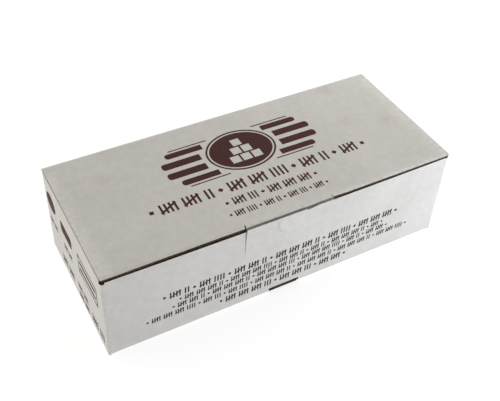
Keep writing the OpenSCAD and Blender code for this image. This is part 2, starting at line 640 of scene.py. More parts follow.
class Nodes:
    """A node tree, written down step by step."""

    def __init__(self, tree: bpy.types.NodeTree) -> None:
        """Keeps the tree and adds its source of coordinates."""
        self.tree = tree
        self.place = self.add("ShaderNodeTexCoord")

    def add(self, kind: str, **settings: object) -> bpy.types.Node:
        """Adds a node.

        Args:
            kind: The node's type.
            **settings: Its own options.

        Returns:
            The node.
        """
        node = self.tree.nodes.new(kind)
        for key, value in settings.items():
            setattr(node, key, value)
        return node

    def feed(self, node: bpy.types.Node, socket: str | int, value: object) -> None:
        """Sets an input to a constant or links it.

        Args:
            node: The node.
            socket: Its input.
            value: A constant, or a link as a node and its output.
        """
        if isinstance(value, tuple) and isinstance(value[0], bpy.types.Node):
            self.tree.links.new(value[0].outputs[value[1]], node.inputs[socket])
        else:
            node.inputs[socket].default_value = value

    def math(self, operation: str, a: object, b: object = 0.0, clamp: bool = False) -> Link:
        """Adds one step of arithmetic.

        Args:
            operation: Name of the step.
            a: First value or link.
            b: Second value or link.
            clamp: Whether the result stays between 0 and 1.

        Returns:
            The link to the result.
        """
        node = self.add("ShaderNodeMath", operation=operation, use_clamp=clamp)
        self.feed(node, 0, a)
        self.feed(node, 1, b)
        return node, 0

    def weigh(self, *parts: tuple[Link, object]) -> Link:
        """Adds up links, each times its weight, which is a number or a link."""
        terms = [self.math("MULTIPLY", link, weight) for link, weight in parts]
        return functools.reduce(functools.partial(self.math, "ADD"), terms)


class Recipe(Nodes):
    """A material's node tree."""

    def __init__(self, name: str) -> None:
        """Starts an empty tree with its shader and output.

        Args:
            name: Name of the material.
        """
        self.material = bpy.data.materials.new(name)
        self.material.use_nodes = True
        self.material.node_tree.nodes.clear()
        super().__init__(self.material.node_tree)
        self.shader = self.add("ShaderNodeBsdfPrincipled")
        self.feed(self.add("ShaderNodeOutputMaterial"), "Surface", (self.shader, "BSDF"))

    def spread(
        self, value: object, low: float, high: float, to_low: float = 0.0, to_high: float = 1.0
    ) -> Link:
        """Maps a range smoothly to another range.

        Args:
            value: The link to map.
            low: Start of its range.
            high: End of its range.
            to_low: What the start becomes.
            to_high: What the end becomes.

        Returns:
            The link to the result.
        """
        node = self.add("ShaderNodeMapRange", interpolation_type="SMOOTHSTEP")
        for socket, item in enumerate((value, low, high, to_low, to_high)):
            self.feed(node, socket, item)
        return node, 0

    def noise(
        self, size_mm: float, detail: float = 3.0, stretch: Point = (1.0, 1.0, 1.0), roughness: float = 0.55
    ) -> Link:
        """Adds a noise on the object's own coordinates.

        Args:
            size_mm: Size of its patches.
            detail: Octaves of finer detail.
            stretch: Scale along X, Y and Z.
            roughness: Weight of the finer detail.

        Returns:
            The link to a value between 0 and 1.
        """
        mapping = self.add("ShaderNodeMapping")
        self.feed(mapping, "Vector", (self.place, "Object"))
        self.feed(mapping, "Scale", stretch)
        node = self.add("ShaderNodeTexNoise")
        self.feed(node, "Vector", (mapping, "Vector"))
        self.feed(node, "Scale", 1.0 / (size_mm * MM))
        self.feed(node, "Detail", detail)
        self.feed(node, "Roughness", roughness)
        return node, "Fac"

    def spot(self, place: Point, reach_mm: float) -> Link:
        """A soft round patch about a point of the object.

        Args:
            place: Its middle.
            reach_mm: How far it reaches.

        Returns:
            The link to a share that falls from 1 at the middle to 0.
        """
        node = self.add("ShaderNodeVectorMath", operation="DISTANCE")
        self.feed(node, 0, (self.place, "Object"))
        self.feed(node, 1, [c * MM for c in place])
        return self.spread((node, "Value"), 0.0, reach_mm * MM, 1.0, 0.0)

    def mix(self, share: object, a: object, b: object) -> Link:
        """Mixes two colours.

        Args:
            share: How much of the second one.
            a: First colour or link.
            b: Second colour or link.

        Returns:
            The link to the mixed colour.
        """
        node = self.add("ShaderNodeMix", data_type="RGBA")
        for socket, item in ((0, share), (6, a), (7, b)):
            self.feed(node, socket, item)
        return node, 2

    def attribute(self, name: str) -> Link:
        """Reads a number that the mesh carries."""
        return self.add("ShaderNodeAttribute", attribute_name=name), "Fac"

    def bump(self, height: object, strength: float, distance_mm: float, under: Link | None = None) -> Link:
        """Adds a bump.

        Args:
            height: The link to its height.
            strength: How much of it shows.
            distance_mm: Its full height.
            under: Another bump that it lies on.

        Returns:
            The link to the bumped normal.
        """
        node = self.add("ShaderNodeBump")
        self.feed(node, "Height", height)
        self.feed(node, "Strength", strength)
        self.feed(node, "Distance", distance_mm * MM)
        if under:
            self.feed(node, "Normal", under)
        return node, "Normal"

    def axes(self, output: str) -> bpy.types.Node:
        """Splits one of the object's own coordinates into X, Y and Z.

        Args:
            output: Which coordinate.

        Returns:
            The node that splits it.
        """
        node = self.add("ShaderNodeSeparateXYZ")
        self.feed(node, "Vector", (self.place, output))
        return node

    def flute_wave(self, pitch_mm: float) -> Link:
        """The faint stripes of the flutes under a liner, across the wall's own width.

        Args:
            pitch_mm: Distance between two flutes.

        Returns:
            The link to a wave between -1 and 1.
        """
        turn, spot = self.axes("Normal"), self.axes("Object")
        on_end = self.math("GREATER_THAN", self.math("ABSOLUTE", (turn, "X")), 0.7)
        elsewhere = self.math("SUBTRACT", 1.0, on_end)
        along = self.weigh(((spot, "Y"), on_end), ((spot, "X"), elsewhere))
        return self.math("SINE", self.math("MULTIPLY", along, 2.0 * math.pi / (pitch_mm * MM)))

    def finish(
        self, colour: object, rough: object, shine: float, relief: Link | None = None
    ) -> bpy.types.Material:
        """Puts the finish on the shader.

        Args:
            colour: Base colour or link.
            rough: Roughness or link.
            shine: Level of its reflections.
            relief: Link to its bumped normal.

        Returns:
            The material.
        """
        self.feed(self.shader, "Base Color", colour)
        self.feed(self.shader, "Roughness", rough)
        self.feed(self.shader, "Specular IOR Level", shine)
        if relief:
            self.feed(self.shader, "Normal", relief)
        return self.material


class Smudge(NamedTuple):
    """A soft stain on the lid."""

    place: Point
    reach: float


@dataclass(frozen=True)
class LinerFinish:
    """The clay-grey outer liner, with paper fibres, faint flute stripes, stains, rubbed folds and a painted
    highlight on the lid's front edge.
    """

    pale: Colour = (0.66, 0.642, 0.608, 1.0)
    grey: Colour = (0.585, 0.567, 0.533, 1.0)
    stain: Colour = (0.50, 0.46, 0.39, 1.0)
    # Pale tone of rubbed card; on the lid's front edge it is also a painted highlight, strongest on the right
    # where the key lamp lights the edge.
    worn_and_highlight: Colour = (0.80, 0.785, 0.75, 1.0)
    smudges: Sequence[Smudge] = (
        Smudge((-95.0, 25.0, 71.5), 10.0),
        Smudge((81.5, 10.0, 71.5), 8.0),
        Smudge((109.0, -4.5, 71.5), 10.0),
        Smudge((89.0, 47.0, 71.5), 9.0),
    )
    flute_pitch: float = 3.4
    cloud_mm: float = 42.0
    mottle_mm: float = 5.5
    fibre_mm: float = 1.1
    dirt_mm: float = 3.2
    blot_mm: float = 30.0
    speck_mm: float = 0.55
    scuff_mm: float = 2.6
    rough: Span = (0.74, 0.9)
    shine: float = 0.28

    def make(self) -> bpy.types.Material:
        """Builds the material.

        Returns:
            The material.
        """
        r = Recipe("carton_liner")
        fibre = r.noise(self.fibre_mm, 4.0, (1.0, 0.35, 1.0), 0.7)
        cloud, mottle = r.noise(self.cloud_mm, 4.0), r.noise(self.mottle_mm, 4.0)
        tone = r.weigh((cloud, 0.36), (mottle, 0.34), (fibre, 0.30))
        body = r.mix(r.spread(tone, 0.36, 0.64), self.grey, self.pale)
        dirt = r.spread(r.noise(self.dirt_mm, 4.0), 0.35, 0.68, 0.1, 0.55)
        stains = [r.math("MULTIPLY", r.spot(*smudge), dirt) for smudge in self.smudges]
        blots = r.spread(r.noise(self.blot_mm, 5.0, (1.0, 1.3, 1.0), 0.62), 0.66, 0.80, 0.0, 0.32)
        specks = r.spread(r.noise(self.speck_mm, 2.0), 0.70, 0.78, 0.0, 0.22)
        for share in (*stains, blots, specks):
            body = r.mix(share, body, self.stain)
        patchy = r.spread(r.noise(self.scuff_mm, 4.0), 0.35, 0.65, 0.25, 1.0)
        # Pales the liner by the stored attribute: real rubbing on folds and corners, and on the lid's front
        # edge also a painted highlight.
        body = r.mix(r.math("MULTIPLY", r.attribute("wear_and_highlight"), patchy, True), body, self.worn_and_highlight)
        relief = r.bump(r.flute_wave(self.flute_pitch), 0.12, 0.05, r.bump(fibre, 0.25, 0.08))
        return r.finish(body, r.spread(fibre, 0.3, 0.7, *self.rough), self.shine, relief)


@dataclass(frozen=True)
class KraftFinish:
    """Plain brown paper: the inner liner, or with other tones the paper in a cut edge, which there also
    carries painted shade.
    """

    name: str
    light: Colour = (0.43, 0.285, 0.165, 1.0)
    dark: Colour = (0.30, 0.185, 0.10, 1.0)
    fleck: Colour = (0.16, 0.09, 0.045, 1.0)
    flute_pitch: float = 3.4
    cloud_mm: float = 26.0
    streak_mm: float = 2.4
    fleck_mm: float = 0.7
    rough: Span = (0.78, 0.93)
    shine: float = 0.22

    def make(self) -> bpy.types.Material:
        """Builds the material.

        Returns:
            The material.
        """
        r = Recipe(self.name)
        streak = r.noise(self.streak_mm, 5.0, (1.0, 0.22, 0.3), 0.68)
        tone = r.weigh((streak, 0.6), (r.noise(self.cloud_mm, 3.0), 0.4))
        body = r.mix(r.spread(tone, 0.35, 0.65), self.dark, self.light)
        body = r.mix(r.spread(r.noise(self.fleck_mm, 2.0), 0.68, 0.76, 0.0, 0.5), body, self.fleck)
        relief = r.bump(r.flute_wave(self.flute_pitch), 0.3, 0.07, r.bump(streak, 0.3, 0.1))
        return r.finish(body, r.spread(streak, 0.3, 0.7, *self.rough), self.shine, relief)


@dataclass(frozen=True)
class InkFinish:
    """Flat printing ink that lies thinly on the paper, so that the fibres show through."""

    name: str
    ink: Colour = (0.062, 0.02, 0.017, 1.0)
    thin: Colour = (0.15, 0.08, 0.07, 1.0)
    patch_mm: float = 9.0
    fibre_mm: float = 0.8
    rough: Span = (0.55, 0.75)
    shine: float = 0.12

    def make(self) -> bpy.types.Material:
        """Builds the material.

        Returns:
            The material.
        """
        r = Recipe(self.name)
        fibre = r.noise(self.fibre_mm, 4.0, (1.0, 0.4, 1.0), 0.7)
        patchy = r.spread(r.noise(self.patch_mm, 3.0), 0.3, 0.7, 0.35, 0.9)
        bare = r.math("MULTIPLY", r.spread(fibre, 0.55, 0.72), patchy)
        body = r.mix(bare, self.ink, self.thin)
        rough = r.spread(fibre, 0.3, 0.7, *self.rough)
        return r.finish(body, rough, self.shine, r.bump(fibre, 0.2, 0.06))


@dataclass(frozen=True)
class ChalkFinish:
    """Moulded chalk: matt, finely pored and dusty, each stick a little different."""

    light: Colour = (0.86, 0.85, 0.81, 1.0)
    warm: Colour = (0.74, 0.72, 0.66, 1.0)
    pit: Colour = (0.52, 0.5, 0.45, 1.0)
    cloud_mm: float = 7.0
    rub_mm: float = 1.5
    pore_mm: float = 0.45
    rough: Span = (0.86, 0.97)
    shine: float = 0.15

    def make(self) -> bpy.types.Material:
        """Builds the material.

        Returns:
            The material.
        """
        r = Recipe("moulded_chalk")
        pores = r.noise(self.pore_mm, 3.0)
        rub = r.noise(self.rub_mm, 4.0, (1.0, 0.12, 1.0), 0.7)
        tone = r.weigh((r.noise(self.cloud_mm, 5.0), 0.55), (rub, 0.45))
        body = r.mix(r.spread(tone, 0.34, 0.66), self.warm, self.light)
        body = r.mix(r.spread(pores, 0.66, 0.74, 0.0, 0.55), body, self.pit)
        body = r.mix(r.math("MULTIPLY", r.attribute("tone"), 0.35), body, self.warm)
        relief = r.bump(rub, 0.3, 0.12, r.bump(pores, 0.35, 0.12))
        return r.finish(body, r.spread(rub, 0.3, 0.7, *self.rough), self.shine, relief)


@dataclass(frozen=True)
class FloorFinish:
    """A white sweep that glows a little, as a light table does."""

    glow: float = 0.72
    tone: Colour = (0.45, 0.45, 0.45, 1.0)
    shade: Colour = (0.441, 0.441, 0.441, 1.0)
    cloud_mm: float = 400.0
    rough: float = 0.95
    shine: float = 0.05

    def make(self) -> bpy.types.Material:
        """Builds the material.

        Returns:
            The material.
        """
        r = Recipe("white_sweep")
        r.feed(r.shader, "Emission Color", (1.0, 1.0, 1.0, 1.0))
        r.feed(r.shader, "Emission Strength", self.glow)
        return r.finish(r.mix(r.noise(self.cloud_mm, 1.0), self.tone, self.shade), self.rough, self.shine)


class Finishes:
    """Every material of the scene, made once."""

    def __init__(self) -> None:
        """Makes the materials."""
        self.liner = LinerFinish().make()
        self.kraft = KraftFinish("kraft_liner").make()
        # The cut rim's paper is darker than the kraft liner: partly the cut paper's own tone, partly painted
        # shade of the narrow cut edges.
        self.rim = KraftFinish("cut_rim_partly_painted_shade", (0.26, 0.18, 0.125, 1.0), (0.15, 0.10, 0.065, 1.0)).make()
        # The flute core is near black: painted shade of the hollow flutes, far darker than the kraft paper
        # that they are made of.
        self.core = KraftFinish("flute_core_painted_shade", (0.13, 0.085, 0.05, 1.0), (0.065, 0.04, 0.022, 1.0)).make()
        self.edge = KraftFinish("lip_edge", (0.40, 0.345, 0.285, 1.0), (0.28, 0.24, 0.195, 1.0)).make()
        self.maroon = InkFinish("maroon_ink").make()
        self.sepia = InkFinish("sepia_ink", (0.03, 0.017, 0.015, 1.0), (0.10, 0.07, 0.06, 1.0)).make()
        self.chalk = ChalkFinish().make()
        self.floor = FloorFinish().make()

    def papers(self) -> tuple[bpy.types.Material, ...]:
        """The materials of a card piece, in the order of its slots."""
        return self.liner, self.kraft, self.rim, self.core, self.edge


@dataclass
class CardPiece:
    """What every folded piece of card shares: thickness, open cut edges, wear and finishes."""

    sizes: CartonSizes
    shape: CardShape
    finishes: Finishes
    liner_paper: float = 0.28
    edge_depth: float = 0.45

    def thicken(self, obj: Piece) -> None:
        """Gives a sheet the card's thickness on its inner side, with its own slots inside and on the rim.

        Args:
            obj: The folded sheet.
        """
        for material in self.finishes.papers():
            obj.data.materials.append(material)
        finish_with(
            obj, "SOLIDIFY", thickness=self.sizes.card * MM, offset=-1.0, use_even_offset=True,
            use_quality_normals=True, use_rim=True, material_offset=Skin.KRAFT, material_offset_rim=Skin.RIM,
        )

    def open_rim(self, obj: Piece, test: Test) -> None:
        """Sinks the core between the two liners along the cut edges that pass a test, and gives it the
        near-black core finish, which is painted shade of the hollow flutes.

        Args:
            obj: The thickened piece.
            test: Which rim faces to open, by centre and normal.
        """
        with Bench(obj) as bench:
            bench.pick(Element.FACE, test)
            mesh = bmesh.from_edit_mesh(obj.data)
            for face in mesh.faces:
                if face.select and face.material_index != Skin.RIM:
                    face.select_set(False)
            mesh.select_flush_mode()
            bmesh.update_edit_mesh(obj.data)
            bpy.ops.mesh.inset(
                thickness=self.liner_paper * MM, depth=-self.edge_depth * MM, use_even_offset=True
            )
            mesh = bmesh.from_edit_mesh(obj.data)
            for face in mesh.faces:
                if face.select:
                    face.material_index = Skin.CORE
            for face in mesh.faces:
                beside = {other.material_index for edge in face.edges for other in edge.link_faces}
                outer_paper = Skin.LINER in beside and Skin.CORE not in beside
                if face.material_index == Skin.RIM and outer_paper:
                    face.material_index = Skin.LINER
            bmesh.update_edit_mesh(obj.data)

    def wear_and_highlight(self, p: Vector) -> float:
        """Gives the wear from 0 to 1 at a point in millimetres: none on plain card."""
        return 0.0

    def dress(self, obj: Piece) -> None:
        """Shades a finished piece and stores its wear, with any painted highlight, for the liner.

        Args:
            obj: The finished mesh.
        """
        smooth(obj)
        layer = obj.data.attributes.new("wear_and_highlight", "FLOAT", "POINT")
        for vertex, item in zip(obj.data.vertices, layer.data):
            item.value = self.wear_and_highlight(vertex.co / MM)


@dataclass
class Tray(CardPiece):
    """The carton below the lid, folded from one sheet."""

    window_top: float = 4.0
    left_notch: float = 0.3
    notch_shut: float = 0.45
    # How far below the corner's top the notch's painted shade reaches.
    notch_shade_deep: float = 2.0
    slit_shut: float = 0.96
    slit_flare: float = 0.55
    flare_rise: Span = (0.78, 1.0)
    lip_rim: float = 0.99
    lip_reach: float = 16.0
    flap_reach: float = 70.0
    most_wear: float = 0.8
    wear_fade: Span = (0.6, 2.2)
    wall_columns: Sequence[float] = marks(-120.0, 120.0, 10.0)
    wall_rows: Sequence[float] = marks(6.0, 66.0, 6.0)
    end_columns: Sequence[float] = marks(-48.0, 48.0, 8.0)
    lip_columns: Sequence[float] = marks(-11.2, 14.4, 0.8)
    lip_rows: Sequence[float] = marks(54.2, 67.85, 0.65)
    flap_columns: Sequence[float] = (-100.0, -90.0, 90.0, 100.0)

    def build(self) -> Piece:
        """Folds, cuts, settles and thickens the sheet.

        Returns:
            The finished piece.
        """
        s = self.sizes
        wide, tall = s.half_w + s.flat_y, s.lip_top - s.fold
        middle = (s.half_l, s.half_w - wide / 2, s.fold + tall / 2)
        obj = start_sheet("carton_walls", middle, (tall, wide), (0, 90, 0))
        with Bench(obj) as bench:
            self.fold_walls(bench)
            self.cut_tops(bench)
            self.fold_base(bench)
            self.cut_tongue(bench)
            self.fold_dust_flaps(bench)
            self.cut_front(bench)
            self.add_rows(bench)
            bench.weld()
            bench.face_out(lambda c, n: near(c.y, -s.half_w) and 20 < c.z < 40, (0, -1, 0))
        move_points(obj, self.settled)
        self.thicken(obj)
        self.open_rim(obj, self.shows_core)
        self.colour_rims_and_paint_shade(obj)
        self.dress(obj)
        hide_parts("tray")
        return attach(obj, "box")

    def fold_walls(self, bench: Bench) -> None:
        """Folds the four walls and the glue flap out of the right end wall, round the box.

        Args:
            bench: The sheet in edit mode.
        """
        s = self.sizes
        back_end = s.half_l - s.card - s.fold
        steps = (
            ((s.half_l, -s.flat_y), (s.flat_x, -s.flat_y), (-2 * s.flat_x, 0.0)),
            ((-s.flat_x, -s.half_w), (-s.flat_x, -s.flat_y), (0.0, 2 * s.flat_y)),
            ((-s.half_l, s.flat_y), (-s.flat_x, s.flat_y), (back_end + s.flat_x, 0.0)),
            ((back_end, s.half_w), (back_end, s.flat_y), (0.0, -s.glue_len)),
        )
        for edge, pivot, run in steps:
            bench.fold(
                lambda c, d: abs(d.z) > ALONG and near(c.x, edge[0]) and near(c.y, edge[1]),
                (*pivot, 0.0), (0, 0, 1), -90.0, (*run, 0.0),
            )

    def cut_tops(self, bench: Bench) -> None:
        """Trims the walls: ends at the dust folds, corners lower, the back at the lid's fold.

        Args:
            bench: The folded walls in edit mode.
        """
        s = self.sizes
        notch_x = s.half_l - s.corner_len
        bench.cut_rows(2, (s.corner_top, s.dust_fold))
        bench.cut_rows(2, (s.fold_wall_z,), lambda c, n: n.y > 0.5 or c.y > s.flat_y)
        bench.cut_rows(1, (s.flap_front, s.flat_y, s.flat_y - s.seam, -s.flat_y + s.seam))
        bench.cut_rows(0, (notch_x, -notch_x), lambda c, n: c.y < -s.flat_y)
        inside, behind = s.half_l - s.card + HAIR, s.half_w - HAIR

        def front_notch(c: Vector, n: Vector) -> bool:
            """Says whether a face lies in a front corner's notch, which is nearly shut at the right."""
            top = s.corner_top if c.x < 0 else s.dust_fold
            return c.y < s.flap_front and abs(c.x) > notch_x and c.z > top

        bench.drop_faces(
            lambda c, n: abs(c.x) > inside and s.flap_front < c.y < s.flat_y and c.z > s.dust_fold
        )
        bench.drop_faces(front_notch)
        bench.drop_faces(lambda c, n: c.y > s.flat_y and abs(c.x) > s.flat_x and c.z > s.corner_top)
        bench.drop_faces(lambda c, n: c.y > behind and abs(c.x) < s.flat_x and c.z > s.fold_wall_z)
        bench.drop_faces(lambda c, n: 0 < c.x < inside and 0 < c.y < behind and c.z > s.corner_top)

    def fold_base(self, bench: Bench) -> None:
        """Folds the base flaps in, with mitred seams, and lets the corner folds down to the table.

        Args:
            bench: The trimmed walls in edit mode.
        """
        s = self.sizes
        end_x = s.flat_x - s.seam
        back_end = s.half_l - s.card - s.fold
        long_flap, short_flap = s.flat_y - s.seam / 2, s.flat_y - s.seam
        bench.cut_rows(0, (end_x, -end_x, s.tongue_half, -s.tongue_half), lambda c, n: abs(c.y) > s.flat_y)

        def corner_foot(c: Vector, d: Vector) -> bool:
            """Says whether an edge is the foot of a corner fold."""
            in_fold = abs(c.x) > s.flat_x or (c.x > back_end and c.y > 0)
            return near(c.z, s.fold) and abs(c.y) > s.flat_y and in_fold

        bench.pick(Element.EDGE, corner_foot)
        bench.pull((0.0, 0.0, -s.card))
        for side in (-1, 1):

            def wall_foot(c: Vector, d: Vector) -> bool:
                """Says whether an edge is the foot of the front or back wall."""
                return near(c.z, s.fold) and near(c.y, side * s.half_w) and abs(c.x) < end_x

            def end_foot(c: Vector, d: Vector) -> bool:
                """Says whether an edge is the foot of an end wall."""
                return near(c.z, s.fold) and near(c.x, side * s.half_l) and abs(c.y) < s.flat_y

            def flap_root(c: Vector, d: Vector) -> bool:
                """Says whether an edge is where an end's flap leaves its fold."""
                on_line = near(c.z, 0.0) and near(c.x, side * s.flat_x) and abs(d.y) > ALONG
                return on_line and abs(c.y) < short_flap

            bench.fold(
                wall_foot, (0.0, side * s.flat_y, s.fold), (1, 0, 0), -90.0 * side,
                (0.0, -side * long_flap, 0.0),
            )
            bench.scale(((end_x - long_flap) / end_x, 1.0, 1.0))
            bench.pick(Element.EDGE, end_foot)
            bench.roll((side * s.flat_x, 0.0, s.fold), (0, 1, 0), 90.0 * side)
            bench.pick(Element.EDGE, flap_root)
            bench.pull((-side * short_flap, 0.0, 0.0))
            bench.scale((1.0, 0.0, 1.0))
            bpy.ops.mesh.merge(type="CENTER")

    def cut_tongue(self, bench: Bench) -> None:
        """Opens the bottom front fold and lets the lock tongue of the base run into it.

        Args:
            bench: The walls and the base in edit mode.
        """
        s = self.sizes
        half = s.tongue_half - self.shape.tongue_gap
        bench.drop_faces(lambda c, n: abs(c.x) < s.tongue_half and c.y < -s.flat_y and c.z < s.fold)
        bench.cut_rows(0, (half, -half), lambda c, n: near(c.z, 0.0) and c.y < 0 and abs(c.x) < s.flat_x)

        def tongue_root(c: Vector, d: Vector) -> bool:
            """Says whether an edge is where the tongue leaves the base."""
            return near(c.z, 0.0) and near(c.y, -s.flat_y) and abs(c.x) < half and abs(d.x) > ALONG

        bench.pick(Element.EDGE, tongue_root)
        bench.pull((0.0, -s.fold + self.shape.tongue_back, 0.0))

    def fold_dust_flaps(self, bench: Bench) -> None:
        """Folds the dust flaps in from the end walls and narrows them towards their tips.

        Args:
            bench: The walls in edit mode.
        """
        s = self.sizes
        middle, half = (s.flap_front + s.flat_y) / 2, (s.flat_y - s.flap_front) / 2
        for side in (-1, 1):

            def end_top(c: Vector, d: Vector) -> bool:
                """Says whether an edge is the top of an end wall."""
                on_line = near(c.z, s.dust_fold) and near(c.x, side * s.half_l) and abs(d.y) > ALONG
                return on_line and s.flap_front < c.y < s.flat_y

            bench.fold(
                end_top, (side * s.flat_x, 0.0, s.dust_fold), (0, 1, 0), -90.0 * side,
                (-side * s.dust_len, 0.0, 0.0),
            )
            bench.scale((1.0, (half - s.dust_taper) / half, 1.0), (0.0, middle, 0.0))

    def cut_front(self, bench: Bench) -> None:
        """Cuts the lip free between its slits, the shoulders beside it and the tongue's window.

        Args:
            bench: The walls in edit mode.
        """
        s = self.sizes
        outer = s.lip_half + s.slit

        def front(c: Vector, n: Vector) -> bool:
            """Says whether a face lies in the flat of the front wall."""
            return near(c.y, -s.half_w) and c.z > s.fold

        bench.cut_rows(0, (outer, -outer, s.lip_half, -s.lip_half), front)
        bench.cut_rows(2, (s.lip_foot, s.shoulder, self.window_top), front)
        bench.drop_faces(lambda c, n: front(c, n) and s.lip_half < abs(c.x) < outer and c.z > s.lip_foot)
        bench.drop_faces(lambda c, n: front(c, n) and abs(c.x) > outer and c.z > s.shoulder)
        bench.drop_faces(lambda c, n: front(c, n) and abs(c.x) < s.tongue_half and c.z < self.window_top)

    def add_rows(self, bench: Bench) -> None:
        """Cuts the flat walls into rows, so that they can bow, and the lip into finer ones.

        Args:
            bench: The finished outline in edit mode.
        """
        s = self.sizes

        def long_wall(c: Vector, n: Vector) -> bool:
            """Says whether a face lies in the flat of the front or back wall."""
            return near(abs(c.y), s.half_w) and c.z > s.fold

        def end_wall(c: Vector, n: Vector) -> bool:
            """Says whether a face lies in the flat of an end wall."""
            return near(abs(c.x), s.half_l) and c.z > s.fold

        def lip(c: Vector, n: Vector) -> bool:
            """Says whether a face lies in the lip."""
            return near(c.y, -s.half_w) and abs(c.x) < s.lip_half and c.z > s.lip_foot

        def dust_flap(c: Vector, n: Vector) -> bool:
            """Says whether a face lies in the flat of a dust flap."""
            return c.z > s.dust_top - HAIR and abs(c.x) > self.flap_reach

        bench.cut_rows(0, self.wall_columns, long_wall)
        bench.cut_rows(2, self.wall_rows, lambda c, n: long_wall(c, n) or end_wall(c, n))
        bench.cut_rows(1, self.end_columns, end_wall)
        bench.cut_rows(0, self.lip_columns, lambda c, n: lip(c, n) and abs(c.x) < self.lip_reach)
        bench.cut_rows(2, self.lip_rows, lip)
        bench.cut_rows(0, self.flap_columns, dust_flap)

    def settled(self, p: Vector) -> Vector:
        """Gives a point of the flat-folded sheet its place in the packed, handled carton.

        Args:
            p: The point.

        Returns:
            Its new place.
        """
        s, q = self.sizes, p.copy()
        if near(p.y, -s.half_w) and p.z > s.fold + HAIR:
            q.y -= self.shape.front(p.x, p.z)
            if abs(p.x) > s.lip_half + 2 * HAIR and p.z > s.corner_top + HAIR:
                q.z += self.shape.shoulder_lift(p.x)
            if near(p.z, s.lip_top) and abs(p.x) < s.lip_half + HAIR:
                q.z += self.shape.lip_top(p.x)
            if near(abs(p.x), s.lip_half) and p.z > s.lip_foot - HAIR:
                flare = self.slit_flare * ramp((p.z - s.lip_foot) / s.lip_h, *self.flare_rise)
                q.x += math.copysign((self.slit_shut - flare) * s.slit, p.x)
        if near(abs(p.x), s.half_l) and p.z > s.fold + HAIR:
            q.x += math.copysign(self.shape.end(p.y, p.z), p.x)
        if self.at_corner(p):
            q += self.notch_shift(p)
        if near(p.z, s.dust_top) and self.flap_reach < abs(p.x) < s.flat_x and p.y > -s.flat_y:
            q.z -= self.shape.dust_drop(p.x)
        return q

    def at_corner(self, p: Vector) -> bool:
        """Says whether a point lies in the relief notch of a front corner."""
        s = self.sizes
        return abs(p.x) > s.half_l - s.corner_len - HAIR and p.y < s.flap_front + HAIR

    def notch_shift(self, p: Vector) -> Vector:
        """Narrows the left front corner's notch, and fills the right one up to the shoulder.

        Args:
            p: A point of a front corner.

        Returns:
            How far it moves.
        """
        s, shift = self.sizes, Vector()
        if p.x < 0:
            if near(p.z, s.corner_top):
                shift.z += self.left_notch
            if near(p.x, s.corner_len - s.half_l) and p.z > s.corner_top - HAIR:
                shift.x -= self.notch_shut
        elif near(p.z, s.dust_fold) and -s.half_w + HAIR / 2 < p.y < s.flap_front - HAIR:
            shift.z += self.shape.shoulder_lift(p.x)
        return shift

    def colour_rims_and_paint_shade(self, obj: Piece) -> None:
        """Makes the lip's rim pale, and paints shade into the left corner's notch and the tongue's window
        with the dark core and rim finishes.

        Args:
            obj: The piece with its open cut edges.
        """
        s = self.sizes
        for face in obj.data.polygons:
            spot, kind = face.center / MM, Skin(face.material_index)
            cut = kind in (Skin.RIM, Skin.CORE)
            at_front = spot.y < -s.half_w + s.card
            at_lip = at_front and spot.z > s.lip_foot and abs(spot.x) < s.lip_half + self.lip_rim * s.slit
            window_shade = abs(spot.x) < s.tongue_half + 2 * HAIR and spot.z < self.window_top + HAIR
            notch_shade = spot.x < 0 and spot.z > s.corner_top - self.notch_shade_deep and self.at_corner(spot)
            if cut and at_lip:
                face.material_index = Skin.EDGE
            # Painted shade: the notch's cut faces take the near-black core finish.
            elif cut and notch_shade:
                face.material_index = Skin.CORE
            # Painted shade: the window's faces take the near-black core finish, and its kraft faces the dark
            # rim finish.
            elif at_front and window_shade and (cut or abs(face.normal.x) > 0.7):
                face.material_index = Skin.CORE
            elif at_front and window_shade and kind is Skin.KRAFT:
                face.material_index = Skin.RIM

    def shows_core(self, centre: Vector, normal: Vector) -> bool:
        """Says whether a cut edge is open: not where the lid's fold joins on, nor in the base's seams.

        Args:
            centre: Middle of the rim face.
            normal: Its normal.

        Returns:
            Whether the core shows.
        """
        s = self.sizes
        if centre.z < self.window_top + HAIR:
            return normal.y < -ALONG and abs(centre.x) < s.tongue_half
        return not (centre.y > s.half_w - 2 * s.card and near(centre.z, s.fold_wall_z, 2 * HAIR))

    def wear_and_highlight(self, p: Vector) -> float:
        """Gives the wear at a point: strongest on the folds and the corners.

        Args:
            p: The point.

        Returns:
            The wear from 0 to 1.
        """
        from_end, from_side = abs(abs(p.x) - self.sizes.half_l), abs(abs(p.y) - self.sizes.half_w)
        from_fold = min(from_end + from_side, abs(p.z) + min(from_end, from_side))
        return self.most_wear * (1.0 - ramp(from_fold, *self.wear_fade))


